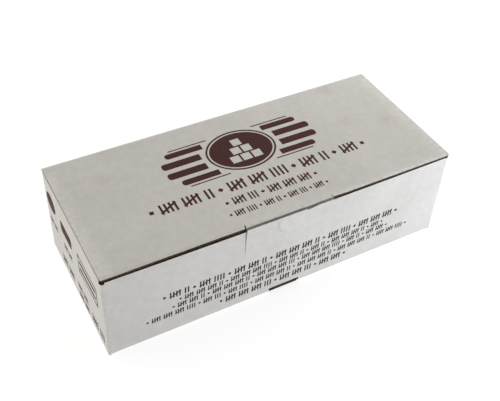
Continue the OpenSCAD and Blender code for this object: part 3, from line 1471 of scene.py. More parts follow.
@dataclass
class Lid(CardPiece):
    """The top panel with its tuck tab."""

    corner_wear: float = 1.4
    corner_facets: Sequence[float] = (20.0, 45.0, 70.0)
    tip_facets: Sequence[float] = (15.0, 35.0, 55.0, 75.0)
    slot_gape: float = 0.7
    slot_shut: float = 0.97
    slot_reach: float = 0.45
    slot_room: float = 0.5
    columns: Sequence[float] = marks(-115.5, 115.5, 10.5)
    rows: Sequence[float] = marks(-46.0, 42.0, 8.0)
    edge_rows: Sequence[float] = (0.3, 0.7, 1.2, 1.7, 2.2)
    # The front edge's pale rim is real rubbing plus a painted highlight: it grows from least on the left to
    # most on the right, towards the key lamp.
    front_wear_and_highlight: Span = (0.15, 1.3)
    front_highlight_run: Span = (-70.0, 100.0)
    front_fade: Span = (0.6, 3.2)
    bend_wear: float = 0.55
    bend_middle: float = 1.2
    bend_fade: Span = (0.5, 2.0)
    side_wear: float = 0.6
    side_fade: Span = (0.2, 1.8)

    def build(self) -> Piece:
        """Shapes the panel, rolls the tab down and thickens the sheet.

        Returns:
            The finished piece.
        """
        s = self.sizes
        length = s.half_w + s.fold_lid_y
        obj = start_sheet("carton_lid", (0, s.fold_lid_y - length / 2, s.high), (2 * s.half_l, length))
        with Bench(obj) as bench:
            self.cut_panel(bench)
            self.roll_tab(bench)
            bench.weld()
            bench.face_out(lambda c, n: near(c.z, s.high) and 0 < c.y < 20, (0, 0, 1))
        move_points(obj, self.settled)
        self.thicken(obj)
        move_points(obj, self.shape.lid_edge)
        self.open_rim(obj, lambda c, n: not near(c.y, s.fold_lid_y, 2 * HAIR))
        self.close_slot(obj)
        self.dress(obj)
        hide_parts("lid")
        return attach(obj, "lid")

    def cut_panel(self, bench: Bench) -> None:
        """Cuts the panel into rows, frees the tab's ends and rounds the worn front corners.

        Args:
            bench: The flat panel in edit mode.
        """
        s = self.sizes
        outer = s.lip_half + s.slit
        bench.cut_rows(0, (*self.columns, outer, -outer, s.lip_half, -s.lip_half))
        bench.cut_rows(1, (*self.rows, s.tab_slit_y))
        bench.cut_rows(1, [-s.half_w + inward for inward in self.edge_rows])
        bench.cut_rows(1, (s.tab_bend_y,), lambda c, n: abs(c.x) < s.lip_half)
        bench.drop_faces(lambda c, n: s.lip_half < abs(c.x) < outer and c.y < s.tab_slit_y)
        bench.drop_faces(lambda c, n: abs(c.x) < s.lip_half and c.y < s.tab_bend_y)
        for side in (-1, 1):
            centre = (side * (s.half_l - self.corner_wear), -s.half_w + self.corner_wear, s.high)
            bench.round_corner(centre, self.corner_wear, ((side, 0, 0), (0, -1, 0)), self.corner_facets)

    def roll_tab(self, bench: Bench) -> None:
        """Bends the tab down at the lid's edge, curves it about the hinge line and rounds its tip.

        Args:
            bench: The cut panel in edit mode.
        """
        s = self.sizes
        sweep = math.degrees(math.asin(s.tab_reach / (s.hinge_y - s.tab_bend_y + s.fold)))

        def lid_front(c: Vector, d: Vector) -> bool:
            """Says whether an edge is the one that the tab hangs on."""
            return near(c.y, s.tab_bend_y) and abs(c.x) < s.lip_half and abs(d.x) > ALONG

        bench.pick(Element.EDGE, lid_front)
        bench.roll((0.0, s.tab_bend_y, s.roll_z), (1, 0, 0), 90.0 + s.tab_drop, steps=6)
        bench.roll((0.0, s.hinge_y, s.hinge_z), (1, 0, 0), sweep - s.tab_drop, steps=8)
        tip = s.hinge_z - s.tab_reach
        for side in (-1, 1):
            centre = (side * (s.lip_half - s.tab_corner), 0.0, tip + s.tab_corner)
            bench.round_corner(
                centre, s.tab_corner, ((side, 0, 0), (0, 0, -1)), self.tip_facets, lambda c, n: c.z < s.roll_z
            )

    def settled(self, p: Vector) -> Vector:
        """Gives a point of the panel its place in the crowned lid: the left slot gapes, the right is shut.

        Args:
            p: The point.

        Returns:
            Its new place.
        """
        s = self.sizes
        if not near(p.z, s.high):
            return p
        shift = 0.0
        if near(abs(p.x), s.lip_half + s.slit) and p.y < s.tab_slit_y + HAIR / 2:
            ahead = (s.tab_slit_y - p.y) / s.tab_slit
            shift = -self.slot_shut * s.slit if p.x > 0 else -self.slot_gape * ahead
        return p + Vector((shift, 0.0, self.shape.lid(p.x, p.y)))

    def close_slot(self, obj: Piece) -> None:
        """Lays the outer paper over the cut in the right slot, where it is pressed shut.

        Args:
            obj: The piece with its open cut edges.
        """
        s = self.sizes
        for face in obj.data.polygons:
            spot = face.center / MM
            beside = near(spot.x, s.lip_half + s.slit / 2, self.slot_reach) and spot.z > s.under
            along = -s.half_w + self.slot_room < spot.y < s.tab_slit_y + self.slot_room
            if beside and along and face.material_index in (Skin.RIM, Skin.CORE):
                face.material_index = Skin.LINER

    def wear_and_highlight(self, p: Vector) -> float:
        """Gives the wear at a point, with a painted highlight on the front edge: along that edge and the
        tab's bend, and at the ends.

        Args:
            p: The point.

        Returns:
            The wear with the painted highlight, from 0 to 1.
        """
        s = self.sizes
        inward = p.y + s.half_w
        if abs(p.x) > s.lip_half:
            least, most = self.front_wear_and_highlight
            # Painted highlight: the front edge's paleness rises from left to right, as the key lamp's light
            # does, on top of real rubbing.
            edge = least + (most - least) * ramp(p.x, *self.front_highlight_run)
            edge *= 1.0 - ramp(inward, *self.front_fade)
        else:
            edge = self.bend_wear * (1.0 - ramp(abs(inward - self.bend_middle), *self.bend_fade))
        return max(edge, self.side_wear * (1.0 - ramp(s.half_l - abs(p.x), *self.side_fade)))


@dataclass
class LidFold(CardPiece):
    """The fold between the back wall and the lid: two strips that part on the hinge line."""

    columns: Sequence[float] = marks(-108.5, 108.5, 15.5)
    wall_rows: Sequence[float] = (65.5, 67.0, 68.4)
    lid_rows: Sequence[float] = (47.5, 49.0, 50.4)
    widen_rise: Span = (2.6, 9.0)
    end_reach: float = 1.3
    inner_reach: float = 0.6
    most_wear: float = 0.85
    wear_fade: Span = (0.8, 2.6)

    def build(self) -> list[Piece]:
        """Folds both strips. They part on the hinge line, because the lid opens past a half turn.

        Returns:
            The strip on the wall and the strip on the lid.
        """
        s = self.sizes
        tall, deep = s.roll_z - s.fold_wall_z, s.flat_y - s.fold_lid_y
        wall_middle, lid_middle = (0.0, s.half_w, s.roll_z - tall / 2), (0.0, s.flat_y - deep / 2, s.high)
        wall = start_sheet("carton_wall_fold", wall_middle, (2 * s.flat_x, tall), (90, 0, 0))
        lid = start_sheet("carton_lid_fold", lid_middle, (2 * s.flat_x, deep))
        self.bend(wall, "box", 45.0, 2, self.wall_rows, s.roll_z)
        self.bend(lid, "lid", -45.0, 1, self.lid_rows, s.flat_y)
        return [wall, lid]

    def bend(
        self, obj: Piece, body: str, turn: float, axis: int, rows: Sequence[float], root: float
    ) -> None:
        """Bends one strip half-way round the fold and finishes it.

        Args:
            obj: The flat strip.
            body: The body that it rides on.
            turn: Its bend in degrees, above 0 for the one on the wall.
            axis: The axis along which it runs towards the fold.
            rows: Where to cut it along that axis.
            root: Where the bend starts on that axis.
        """
        s = self.sizes
        with Bench(obj) as bench:
            bench.cut_rows(0, self.columns)
            bench.cut_rows(axis, rows)
            bench.pick(Element.EDGE, lambda c, d: abs(d.x) > ALONG and near(c[axis], root))
            bench.roll((0.0, s.flat_y, s.roll_z), (1, 0, 0), turn)
            bench.weld()
            bench.face_out(lambda c, n: c.z < s.roll_z or c.y < s.flat_y, (0, 1, 1))
        move_points(obj, self.widened)
        self.thicken(obj)
        move_points(obj, lambda p: self.to_hinge(p, turn))
        self.cover_end(obj)
        self.dress(obj)
        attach(obj, body)

    def widened(self, p: Vector) -> Vector:
        """Widens the strip from the wall's flat width to the lid's full width.

        Args:
            p: A point of the strip.

        Returns:
            Its new place.
        """
        s = self.sizes
        up = ramp((p.z - s.fold_wall_z) + (s.half_w - p.y), *self.widen_rise)
        widen = 1.0 + up * (s.half_l - s.flat_x) / s.flat_x
        return Vector((p.x * widen, p.y, p.z))

    def to_hinge(self, p: Vector, turn: float) -> Vector:
        """Draws the inner corner of a strip's end out beside the hinge line, so that no gap opens there.

        Args:
            p: A point of the thickened strip.
            turn: The strip's bend in degrees, above 0 for the one on the wall.

        Returns:
            Its new place.
        """
        s = self.sizes
        across, up = p.y - s.flat_y, p.z - s.roll_z
        ahead = (up - across) * math.copysign(1.0, turn)
        if math.hypot(across, up) > self.inner_reach or ahead < HAIR:
            return p
        tip = s.fold * math.sqrt(0.5)
        if turn > 0:
            return Vector((p.x, s.half_w - s.card, s.roll_z + tip))
        return Vector((p.x, s.flat_y + tip, s.under))

    def cover_end(self, obj: Piece) -> None:
        """Covers a strip's end on the hinge line with the inner paper, which shows when the lid is open.

        Args:
            obj: The thickened strip.
        """
        s = self.sizes
        for face in obj.data.polygons:
            spot = face.center / MM
            at_hinge = math.hypot(spot.y - s.hinge_y, spot.z - s.hinge_z) < self.end_reach
            if at_hinge and abs(face.normal.x) < 0.5 and face.material_index == Skin.RIM:
                face.material_index = Skin.KRAFT

    def wear_and_highlight(self, p: Vector) -> float:
        """Gives the wear at a point: strongest round the bend."""
        from_bend = abs((self.sizes.half_w - p.y) - (self.sizes.high - p.z))
        return self.most_wear * (1.0 - ramp(from_bend, *self.wear_fade))


@dataclass(frozen=True)
class CutEdge:
    """A cut edge of the card in which the flutes show, by its middle line in millimetres."""

    name: str
    body: str
    start: Point
    end: Point
    inward: Point
    across: Point
    bow: Callable[[Vector], Vector]
    finish: bpy.types.Material


@dataclass
class Flutes:
    """The wavy paper between the liners, where a cut edge lets it show."""

    sizes: CartonSizes
    shape: CardShape
    finishes: Finishes
    pitch: float = 3.4
    paper: float = 0.16
    liner_paper: float = 0.28
    depth: float = 0.6
    sunk: float = 0.12
    facets: int = 8
    slot_room: float = 0.9
    lid_room: float = 1.3
    notch_room: float = 0.3
    lip_room: float = 0.4
    flap_room: float = 0.5

    def strip(self, edge: CutEdge) -> Piece:
        """Lays one wavy strip into a cut edge.

        Args:
            edge: The cut edge.

        Returns:
            The finished piece.
        """
        start, run = Vector(edge.start), Vector(edge.end) - Vector(edge.start)
        count = max(3, round(run.length / self.pitch))
        pitch = run.length / count
        swing = self.sizes.card / 2 - self.liner_paper - self.paper / 2
        obj = start_sheet(edge.name, (pitch / 2, self.depth / 2 + self.sunk, 0.0), (pitch, self.depth))
        columns = [pitch * i / self.facets for i in range(self.facets + 1)]
        with Bench(obj) as bench:
            bench.cut_rows(0, columns[1:-1])
            for place in columns:
                bench.pick(Element.VERT, lambda c, n: near(c.x, place, HAIR / 5))
                height = swing * math.sin(2 * math.pi * place / pitch)
                bpy.ops.transform.translate(value=(0, 0, height * MM))
        finish_with(
            obj, "ARRAY", count=count, use_relative_offset=False, use_constant_offset=True,
            constant_offset_displace=(pitch * MM, 0, 0), use_merge_vertices=True, merge_threshold=0.02 * MM,
        )
        finish_with(obj, "SOLIDIFY", thickness=self.paper * MM, offset=0.0, use_even_offset=True)
        along, into, through = run.normalized(), Vector(edge.inward), Vector(edge.across)
        move_points(obj, lambda p: edge.bow(start + along * p.x + into * p.y + through * p.z))
        with Bench(obj) as bench:
            bench.agree_normals()
        smooth(obj, degrees=60.0)
        obj.data.materials.append(edge.finish)
        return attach(obj, edge.body)

    def on_front(self, p: Vector) -> Vector:
        """Moves a point with the front wall's bow and the height of the shoulders and the lip.

        Args:
            p: The point.

        Returns:
            Its new place.
        """
        at_lip = abs(p.x) <= self.sizes.lip_half
        lift = self.shape.lip_rise if at_lip else self.shape.shoulder_lift(p.x)
        return p + Vector((0.0, -self.shape.front(p.x, p.z), lift))

    def on_dust_flap(self, p: Vector) -> Vector:
        """Lowers a point with the dust flap's sag."""
        return p - Vector((0.0, 0.0, self.shape.dust_drop(p.x)))

    def edges(self) -> list[CutEdge]:
        """Lists every cut edge that crosses the flutes.

        Returns:
            The edges.
        """
        # The flute strips take the near-black core finish: painted shade of the flutes' hollows.
        s, core = self.sizes, self.finishes.core
        half = s.card / 2
        front_y, wall_y = -s.half_w, -s.half_w + half
        lid_z, dust_z = s.high - half, s.dust_top - half
        dust_low = s.flap_front + s.dust_taper + self.flap_room
        dust_high = s.flat_y - s.dust_taper - self.flap_room
        found = []
        for side, word in ((-1, "left"), (1, "right")):
            inner = side * (s.lip_half + s.slit + self.slot_room)
            lid_end = side * (s.half_l - self.lid_room)
            wall_end = side * (s.half_l - s.corner_len - self.notch_room)
            tip = side * (s.flat_x - s.dust_len)
            found += [
                CutEdge(
                    f"lid_flutes_{word}", "lid", (inner, front_y, lid_z), (lid_end, front_y, lid_z),
                    (0, 1, 0), (0, 0, 1), self.shape.lid_edge, core,
                ),
                CutEdge(
                    f"shoulder_flutes_{word}", "box",
                    (inner, wall_y, s.shoulder), (wall_end, wall_y, s.shoulder),
                    (0, 0, -1), (0, 1, 0), self.on_front, core,
                ),
                CutEdge(
                    f"dust_flap_flutes_{word}", "box", (tip, dust_low, dust_z), (tip, dust_high, dust_z),
                    (side, 0, 0), (0, 0, 1), self.on_dust_flap, core,
                ),
            ]
        lip, tongue = s.lip_half - self.lip_room, s.tongue_half - self.shape.tongue_gap - self.notch_room
        tongue_y = front_y + self.shape.tongue_back
        return found + [
            CutEdge(
                "lip_flutes", "box", (-lip, wall_y, s.lip_top), (lip, wall_y, s.lip_top),
                (0, 0, -1), (0, 1, 0), self.on_front, self.finishes.edge,
            ),
            CutEdge(
                "tongue_flutes", "box", (-tongue, tongue_y, half), (tongue, tongue_y, half),
                (0, 1, 0), (0, 0, 1), Vector, core,
            ),
        ]

    def build(self) -> list[Piece]:
        """Lays a strip into every such edge."""
        return [self.strip(edge) for edge in self.edges()]


@dataclass
class ChalkSticks:
    """The top layer of sticks, each a little out of line and rubbed."""

    finishes: Finishes
    count: int = 20
    rounding: float = 0.8
    rim: float = 0.35
    dish_slope: float = 1.6
    dish_depth: float = 0.25
    rows: int = 8
    slip: Span = (-0.3, 0.15)
    askew: Span = (-0.05, 0.05)
    chipped: float = 0.4
    chip_lean: Span = (0.4, 1.0)
    chip_tilt: Span = (0.5, 1.0)
    chip_depth: Span = (1.2, 2.4)
    seed: int = 12

    def __post_init__(self) -> None:
        """Takes the layer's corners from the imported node, in millimetres."""
        self.low, self.high = (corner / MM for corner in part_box("chalk_layer_5"))
        self.side = self.high.z - self.low.z

    def build(self) -> Piece:
        """Models one stick, copies it along the layer and chips some corners.

        Returns:
            The finished layer as one piece.
        """
        luck = random.Random(self.seed)
        first = self.model_stick()
        sticks = [first]
        for _ in range(1, self.count):
            only(first)
            bpy.ops.object.duplicate(linked=False)
            sticks.append(bpy.context.active_object)
        pitch = (self.high.x - self.low.x - self.side) / (self.count - 1)
        for index, stick in enumerate(sticks):
            shift = Vector(((index - (self.count - 1) / 2) * pitch, luck.uniform(*self.slip), 0.0))
            turn = Matrix.Rotation(math.radians(luck.uniform(*self.askew)), 3, "Z")
            move_points(stick, lambda p: turn @ p + shift)
            if luck.random() < self.chipped:
                self.chip(stick, shift, luck)
            layer = stick.data.attributes.new("tone", "FLOAT", "POINT")
            tone = luck.random()
            for item in layer.data:
                item.value = tone
        bpy.ops.object.select_all(action="DESELECT")
        for stick in sticks:
            stick.select_set(True)
        bpy.context.view_layer.objects.active = first
        bpy.ops.object.join()
        first.name = first.data.name = "chalk_sticks_top"
        first.data.materials.append(self.finishes.chalk)
        smooth(first, degrees=35.0)
        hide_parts("chalk_layer_5")
        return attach(first, "box")

    def model_stick(self) -> Piece:
        """Models one stick with rounded long edges and dished ends, at the middle of the layer.

        Returns:
            The stick.
        """
        size = Vector((self.side, self.high.y - self.low.y, self.side))
        middle = Vector((0.0, (self.low.y + self.high.y) / 2, (self.low.z + self.high.z) / 2))
        obj = start_piece("stick", bpy.ops.mesh.primitive_cube_add, size * MM, size=1.0, location=middle * MM)
        with Bench(obj) as bench:
            bench.pick(Element.EDGE, lambda c, d: abs(d.y) > ALONG)
            bpy.ops.mesh.bevel(offset=self.rounding * MM, segments=3, affect="EDGES")
            bench.pick(Element.FACE, lambda c, n: abs(n.y) > ALONG)
            for wide, deep in ((self.rim, 0.0), (self.dish_slope, self.dish_depth)):
                bpy.ops.mesh.inset(thickness=wide * MM, depth=-deep * MM, use_individual=True)
            bench.cut_rows(1, [self.low.y + size.y * i / self.rows for i in range(1, self.rows)])
        return obj

    def chip(self, stick: Piece, shift: Vector, luck: random.Random) -> None:
        """Breaks one upper corner off a stick.

        Args:
            stick: The stick in its place.
            shift: How far it was moved from the middle of the layer.
            luck: The seeded source of chance.
        """
        side, end = luck.choice((-1, 1)), luck.choice((-1, 1))
        corner = shift + Vector((side * self.side / 2, self.low.y if end < 0 else self.high.y, self.high.z))
        across, along = luck.uniform(*self.chip_lean), luck.uniform(*self.chip_lean)
        normal = Vector((side * across, end * along, luck.uniform(*self.chip_tilt))).normalized()
        point = corner - normal * luck.uniform(*self.chip_depth)
        with Bench(stick):
            bpy.ops.mesh.select_all(action="SELECT")
            bpy.ops.mesh.bisect(plane_co=point * MM, plane_no=normal, clear_outer=True, use_fill=True)


class Bar(NamedTuple):
    """A rectangle of flat print, by its sides in millimetres."""

    left: float
    right: float
    low: float
    high: float

    def mirrored(self) -> "Bar":
        """The same bar on the other side of the middle."""
        return Bar(-self.right, -self.left, self.low, self.high)

    def raised(self, by: float) -> "Bar":
        """The same bar further up."""
        return Bar(self.left, self.right, self.low + by, self.high + by)


class Row(NamedTuple):
    """Where a row of tally strokes runs, in millimetres."""

    left: float
    right: float
    middle: float
    high: float


@dataclass(frozen=True)
class BadgePlan:
    """The lid's badge: an oval with a stack of stick ends, between two wings of bars, in millimetres."""

    middle_y: float = 13.0
    ring: Span = (25.0, 20.0)
    ring_line: float = 1.3
    disc: Span = (22.5, 17.5)
    stick_end: float = 6.6
    stick_pitch: float = 8.0
    stack: Sequence[int] = (1, 2, 3)
    wing: Sequence[Bar] = (
        Bar(28.0, 56.0, 2.0, 8.0),
        Bar(28.0, 56.0, -8.0, -2.0),
        Bar(23.0, 50.0, 11.5, 16.5),
        Bar(23.0, 50.0, -16.5, -11.5),
        Bar(17.5, 46.0, -19.05, -18.15),
        Bar(17.5, 46.0, 18.15, 19.05),
    )
    wing_tip: Span = (44.0, 17.5)
    wing_round: float = 2.2
    over_print: float = 0.05

    def stick_ends(self) -> list[Bar]:
        """Stacks the stick ends, one more in each level down.

        Returns:
            Their squares about the badge's middle.
        """
        half = self.stick_end / 2
        found = []
        for level, count in enumerate(self.stack):
            y = ((len(self.stack) - 1) / 2 - level) * self.stick_pitch
            for place in range(count):
                x = (place - (count - 1) / 2) * self.stick_pitch
                found.append(Bar(x - half, x + half, y - half, y + half))
        return found


@dataclass(frozen=True)
class EndPlan:
    """The print of an end wall: three small stamps above short rows of strokes, in millimetres."""

    oval_at: Span = (-40.0, 51.5)
    oval: Span = (9.0, 7.2)
    slab: Bar = Bar(-21.0, 0.0, 44.2, 53.8)
    slab_round: float = 2.4
    window: Bar = Bar(11.0, 44.0, 36.5, 53.5)
    window_line: float = 1.3
    window_bars: Sequence[Bar] = (Bar(14.0, 41.0, 46.6, 49.4), Bar(14.0, 41.0, 40.6, 43.4))
    rows: Sequence[Row] = (
        Row(-48.0, -31.0, 32.5, 4.8),
        Row(-20.0, -2.0, 32.5, 4.8),
        Row(-31.0, -3.0, 12.0, 7.2),
        Row(1.0, 23.5, 16.5, 5.8),
        Row(1.0, 23.5, 7.5, 5.8),
        Row(26.5, 50.0, 11.0, 7.6),
    )


@dataclass
class Print:
    """The carton's print: simple shapes in ink, pressed onto the bowed card.

    The sizes of strokes and dots are shares of their row's height.
    """

    sizes: CartonSizes
    shape: CardShape
    finishes: Finishes
    badge_plan: BadgePlan = BadgePlan()
    end_plan: EndPlan = EndPlan()
    lid_rows: Sequence[Row] = (
        Row(-84.0, 84.0, -17.0, 8.8),
        Row(-39.0, 39.0, -29.6, 6.4),
        Row(-39.0, 39.0, -39.8, 4.8),
    )
    wall_rows: Sequence[Row] = (
        Row(-93.0, 93.0, 35.5, 5.6),
        Row(-80.0, 80.0, 29.2, 4.5),
        Row(-85.0, 85.0, 23.8, 4.5),
        Row(-102.0, 102.0, 17.7, 4.5),
        Row(-50.0, 50.0, 10.8, 5.4),
    )
    film: float = 0.05
    sunk: float = 0.04
    film_cells: Sequence[float] = marks(-63.0, 63.0, 7.0)
    oval_points: int = 56
    stroke: float = 0.17
    stroke_step: float = 0.37
    strike: float = 0.78
    strike_turn: float = 28.0
    dot: float = 0.16
    group: float = 1.28
    space: float = 0.5
    luck: random.Random = field(default_factory=lambda: random.Random(7))

    def on_panel(self, panel: Panel, p: Vector) -> Vector:
        """Places a point of the flat print on a side of the carton.

        Args:
            panel: The side.
            p: Across, up and out of the flat print.

        Returns:
            The place on the carton.
        """
        s = self.sizes
        if panel is Panel.LID:
            return Vector((p.x, p.y, s.high + self.shape.lid(p.x, p.y) + p.z))
        if panel is Panel.FRONT:
            return Vector((p.x, -s.half_w - self.shape.front(p.x, p.y) - p.z, p.y))
        if panel is Panel.BACK:
            return Vector((-p.x, s.half_w + p.z, p.y))
        if panel is Panel.LEFT_END:
            return Vector((-s.half_l - self.shape.end(-p.x, p.y) - p.z, -p.x, p.y))
        return Vector((s.half_l + self.shape.end(p.x, p.y) + p.z, p.x, p.y))

    def press(self, obj: Piece, panel: Panel, ink: bpy.types.Material, lift: float = 0.0) -> Piece:
        """Gives a flat print its thin film and presses it onto its side of the carton.

        Args:
            obj: Flat shapes in the XY plane.
            panel: The side that they go on.
            ink: The ink's material.
            lift: Extra height over the card for print on print.

        Returns:
            The finished piece.
        """
        finish_with(obj, "SOLIDIFY", thickness=(self.film + self.sunk) * MM, offset=0.0)
        rise = Vector((0.0, 0.0, (self.film - self.sunk) / 2 + lift))
        move_points(obj, lambda p: self.on_panel(panel, p + rise))
        with Bench(obj) as bench:
            bench.agree_normals()
        obj.data.materials.append(ink)
        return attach(obj, "lid" if panel is Panel.LID else "box")

    def add_bar(self, bar: Bar, turn: float = 0.0) -> None:
        """Adds one bar to the print that is open in edit mode.

        Args:
            bar: Its sides.
            turn: Turn about its middle in degrees.
        """
        middle = ((bar.left + bar.right) / 2 * MM, (bar.low + bar.high) / 2 * MM, 0.0)
        bpy.ops.mesh.primitive_plane_add(size=MM, location=middle)
        size = (bar.right - bar.left, bar.high - bar.low, 1.0)
        bpy.ops.transform.resize(value=size, center_override=middle)
        if turn:
            bpy.ops.transform.rotate(value=-math.radians(turn), orient_axis="Z", center_override=middle)

    def bars(self, name: str, bars: Sequence[Bar]) -> Piece:
        """Starts a flat print of several bars.

        Args:
            name: Name of the piece.
            bars: Its bars.

        Returns:
            The flat piece.
        """
        first, *others = bars
        middle = ((first.left + first.right) / 2, (first.low + first.high) / 2, 0.0)
        obj = start_sheet(name, middle, (first.right - first.left, first.high - first.low))
        with Bench(obj):
            for bar in others:
                self.add_bar(bar)
        return obj

    def oval(self, name: str, centre: Span, radii: Span) -> Piece:
        """Starts a flat oval print.

        Args:
            name: Name of the piece.
            centre: Its middle.
            radii: Half its width and half its height.

        Returns:
            The flat piece.
        """
        return start_piece(
            name, bpy.ops.mesh.primitive_circle_add, (*radii, 1.0), vertices=self.oval_points, radius=MM,
            fill_type="NGON", location=(centre[0] * MM, centre[1] * MM, 0.0),
        )

    def cut_film(self, obj: Piece) -> None:
        """Cuts a large flat print into cells that can follow the card.

        Args:
            obj: The flat piece.
        """
        with Bench(obj) as bench:
            for axis in (0, 1):
                bench.cut_rows(axis, self.film_cells)

    def tally(self, at: float, row: Row, count: int) -> float:
        """Adds one group of tally strokes to the print that is open in edit mode.

        Args:
            at: Where the group starts.
            row: The row that it stands in.
            count: How many strokes, of which a fifth one strikes through the first four.

        Returns:
            Where the group ends.
        """
        thick, step = self.stroke * row.high, self.stroke_step * row.high
        upright = min(count, 4)
        low, high = row.middle - row.high / 2, row.middle + row.high / 2
        for stroke in range(upright):
            self.add_bar(Bar(at + stroke * step, at + stroke * step + thick, low, high))
        end = at + (upright - 1) * step + thick
        if count == 5:
            half_way, reach = (at + end) / 2, self.strike * row.high
            strike = Bar(half_way - reach, half_way + reach, row.middle - thick / 2, row.middle + thick / 2)
            self.add_bar(strike, self.strike_turn)
        return end

    def print_row(
        self, name: str, panel: Panel, row: Row, ink: bpy.types.Material, ends: bool = True
    ) -> Piece:
        """Prints one row of tally groups with diamonds between them, as a plain counting border.

        Args:
            name: Name of the piece.
            panel: The side that it goes on.
            row: Where it runs.
            ink: The ink's material.
            ends: Whether a dot closes the row at both ends.

        Returns:
            The finished piece.
        """
        dot, group, space = (share * row.high for share in (self.dot, self.group, self.space))
        end = 2 * dot + space if ends else 0.0

        def dot_at(left: float) -> Bar:
            """The square of a dot or diamond that starts at a place."""
            return Bar(left, left + 2 * dot, row.middle - dot, row.middle + dot)

        obj = self.bars(name, [dot_at(row.left)])
        with Bench(obj) as bench:
            if not ends:
                bench.drop_faces(everywhere)
            at, in_word = row.left + end, self.luck.randint(1, 3)
            while at + group + (0.0 if in_word >= 0 else 2 * dot + space) < row.right - end:
                if in_word < 0:
                    self.add_bar(dot_at(at), 45.0)
                    at, in_word = at + 2 * dot + space, self.luck.randint(1, 3)
                at = self.tally(at, row, 5 if in_word else self.luck.randint(2, 4)) + space
                in_word -= 1
            if ends:
                self.add_bar(dot_at(at))
        spare = Vector(((row.right - at + space - end) / 2, 0.0, 0.0))
        move_points(obj, lambda p: p + spare)
        return self.press(obj, panel, ink)

    def print_rows(
        self, panel: Panel, rows: Sequence[Row], ink: bpy.types.Material, ends: bool = True
    ) -> list[Piece]:
        """Prints all the rows of a side."""
        return [
            self.print_row(f"{panel.value}_row_{number}", panel, row, ink, ends)
            for number, row in enumerate(rows, 1)
        ]

    def badge(self) -> list[Piece]:
        """Prints the lid's badge.

        Returns:
            The finished pieces.
        """
        plan, ink = self.badge_plan, self.finishes.maroon
        middle = (0.0, plan.middle_y)
        ring = self.oval("badge_ring", middle, plan.ring)
        with Bench(ring) as bench:
            bench.hollow(plan.ring_line)
        disc = self.oval("badge_field", middle, plan.disc)
        stack = self.bars("badge_stack", [bar.raised(plan.middle_y) for bar in plan.stick_ends()])
        wing = [bar.raised(plan.middle_y) for bar in plan.wing]
        wings = self.bars("badge_wings", wing + [bar.mirrored() for bar in wing])
        tip_x, tip_y = plan.wing_tip
        with Bench(wings) as bench:
            bench.round_points(
                lambda c, n: abs(c.x) > tip_x and abs(c.y - plan.middle_y) < tip_y, plan.wing_round
            )
        for obj in (ring, disc, wings):
            self.cut_film(obj)
        return [
            self.press(ring, Panel.LID, ink),
            self.press(disc, Panel.LID, ink),
            self.press(stack, Panel.LID, self.finishes.liner, plan.over_print),
            self.press(wings, Panel.LID, ink),
        ]

    def end_marks(self, panel: Panel) -> list[Piece]:
        """Prints an end wall.

        Args:
            panel: The end.

        Returns:
            The finished pieces.
        """
        plan, word = self.end_plan, panel.value
        disc = self.oval(f"{word}_stamp_1", plan.oval_at, plan.oval)
        slab = self.bars(f"{word}_stamp_2", [plan.slab])
        with Bench(slab) as bench:
            bench.round_points(everywhere, plan.slab_round)
        window = self.bars(f"{word}_stamp_3", [plan.window])
        with Bench(window) as bench:
            bench.hollow(plan.window_line)
            for bar in plan.window_bars:
                self.add_bar(bar)
        stamps = [self.press(obj, panel, self.finishes.maroon) for obj in (disc, slab, window)]
        return stamps + self.print_rows(panel, plan.rows, self.finishes.sepia, ends=False)

    def build(self) -> list[Piece]:
        """Prints all sides.

        Returns:
            The finished pieces.
        """
        made = self.badge() + self.print_rows(Panel.LID, self.lid_rows, self.finishes.maroon)
        for panel in (Panel.FRONT, Panel.BACK):
            made += self.print_rows(panel, self.wall_rows, self.finishes.sepia)
        for panel in (Panel.LEFT_END, Panel.RIGHT_END):
            made += self.end_marks(panel)
        return made


@dataclass(frozen=True)
class Lamp:
    """One soft rectangular lamp, in metres and watts."""

    name: str
    place: Point
    aim: Point
    size: Span
    power: float
    tint: Point = (1.0, 1.0, 1.0)
    in_view: bool = True

    def hang(self) -> None:
        """Adds the lamp at its place, pointing at its aim."""
        bpy.ops.object.light_add(type="AREA", location=self.place)
        lamp = bpy.context.active_object
        lamp.name = self.name
        lamp.data.shape = "RECTANGLE"
        lamp.data.size, lamp.data.size_y = self.size
        lamp.data.energy = self.power
        lamp.data.color = self.tint
        lamp.rotation_euler = (Vector(self.aim) - Vector(self.place)).to_track_quat("-Z", "Y").to_euler()
        lamp.visible_camera = self.in_view


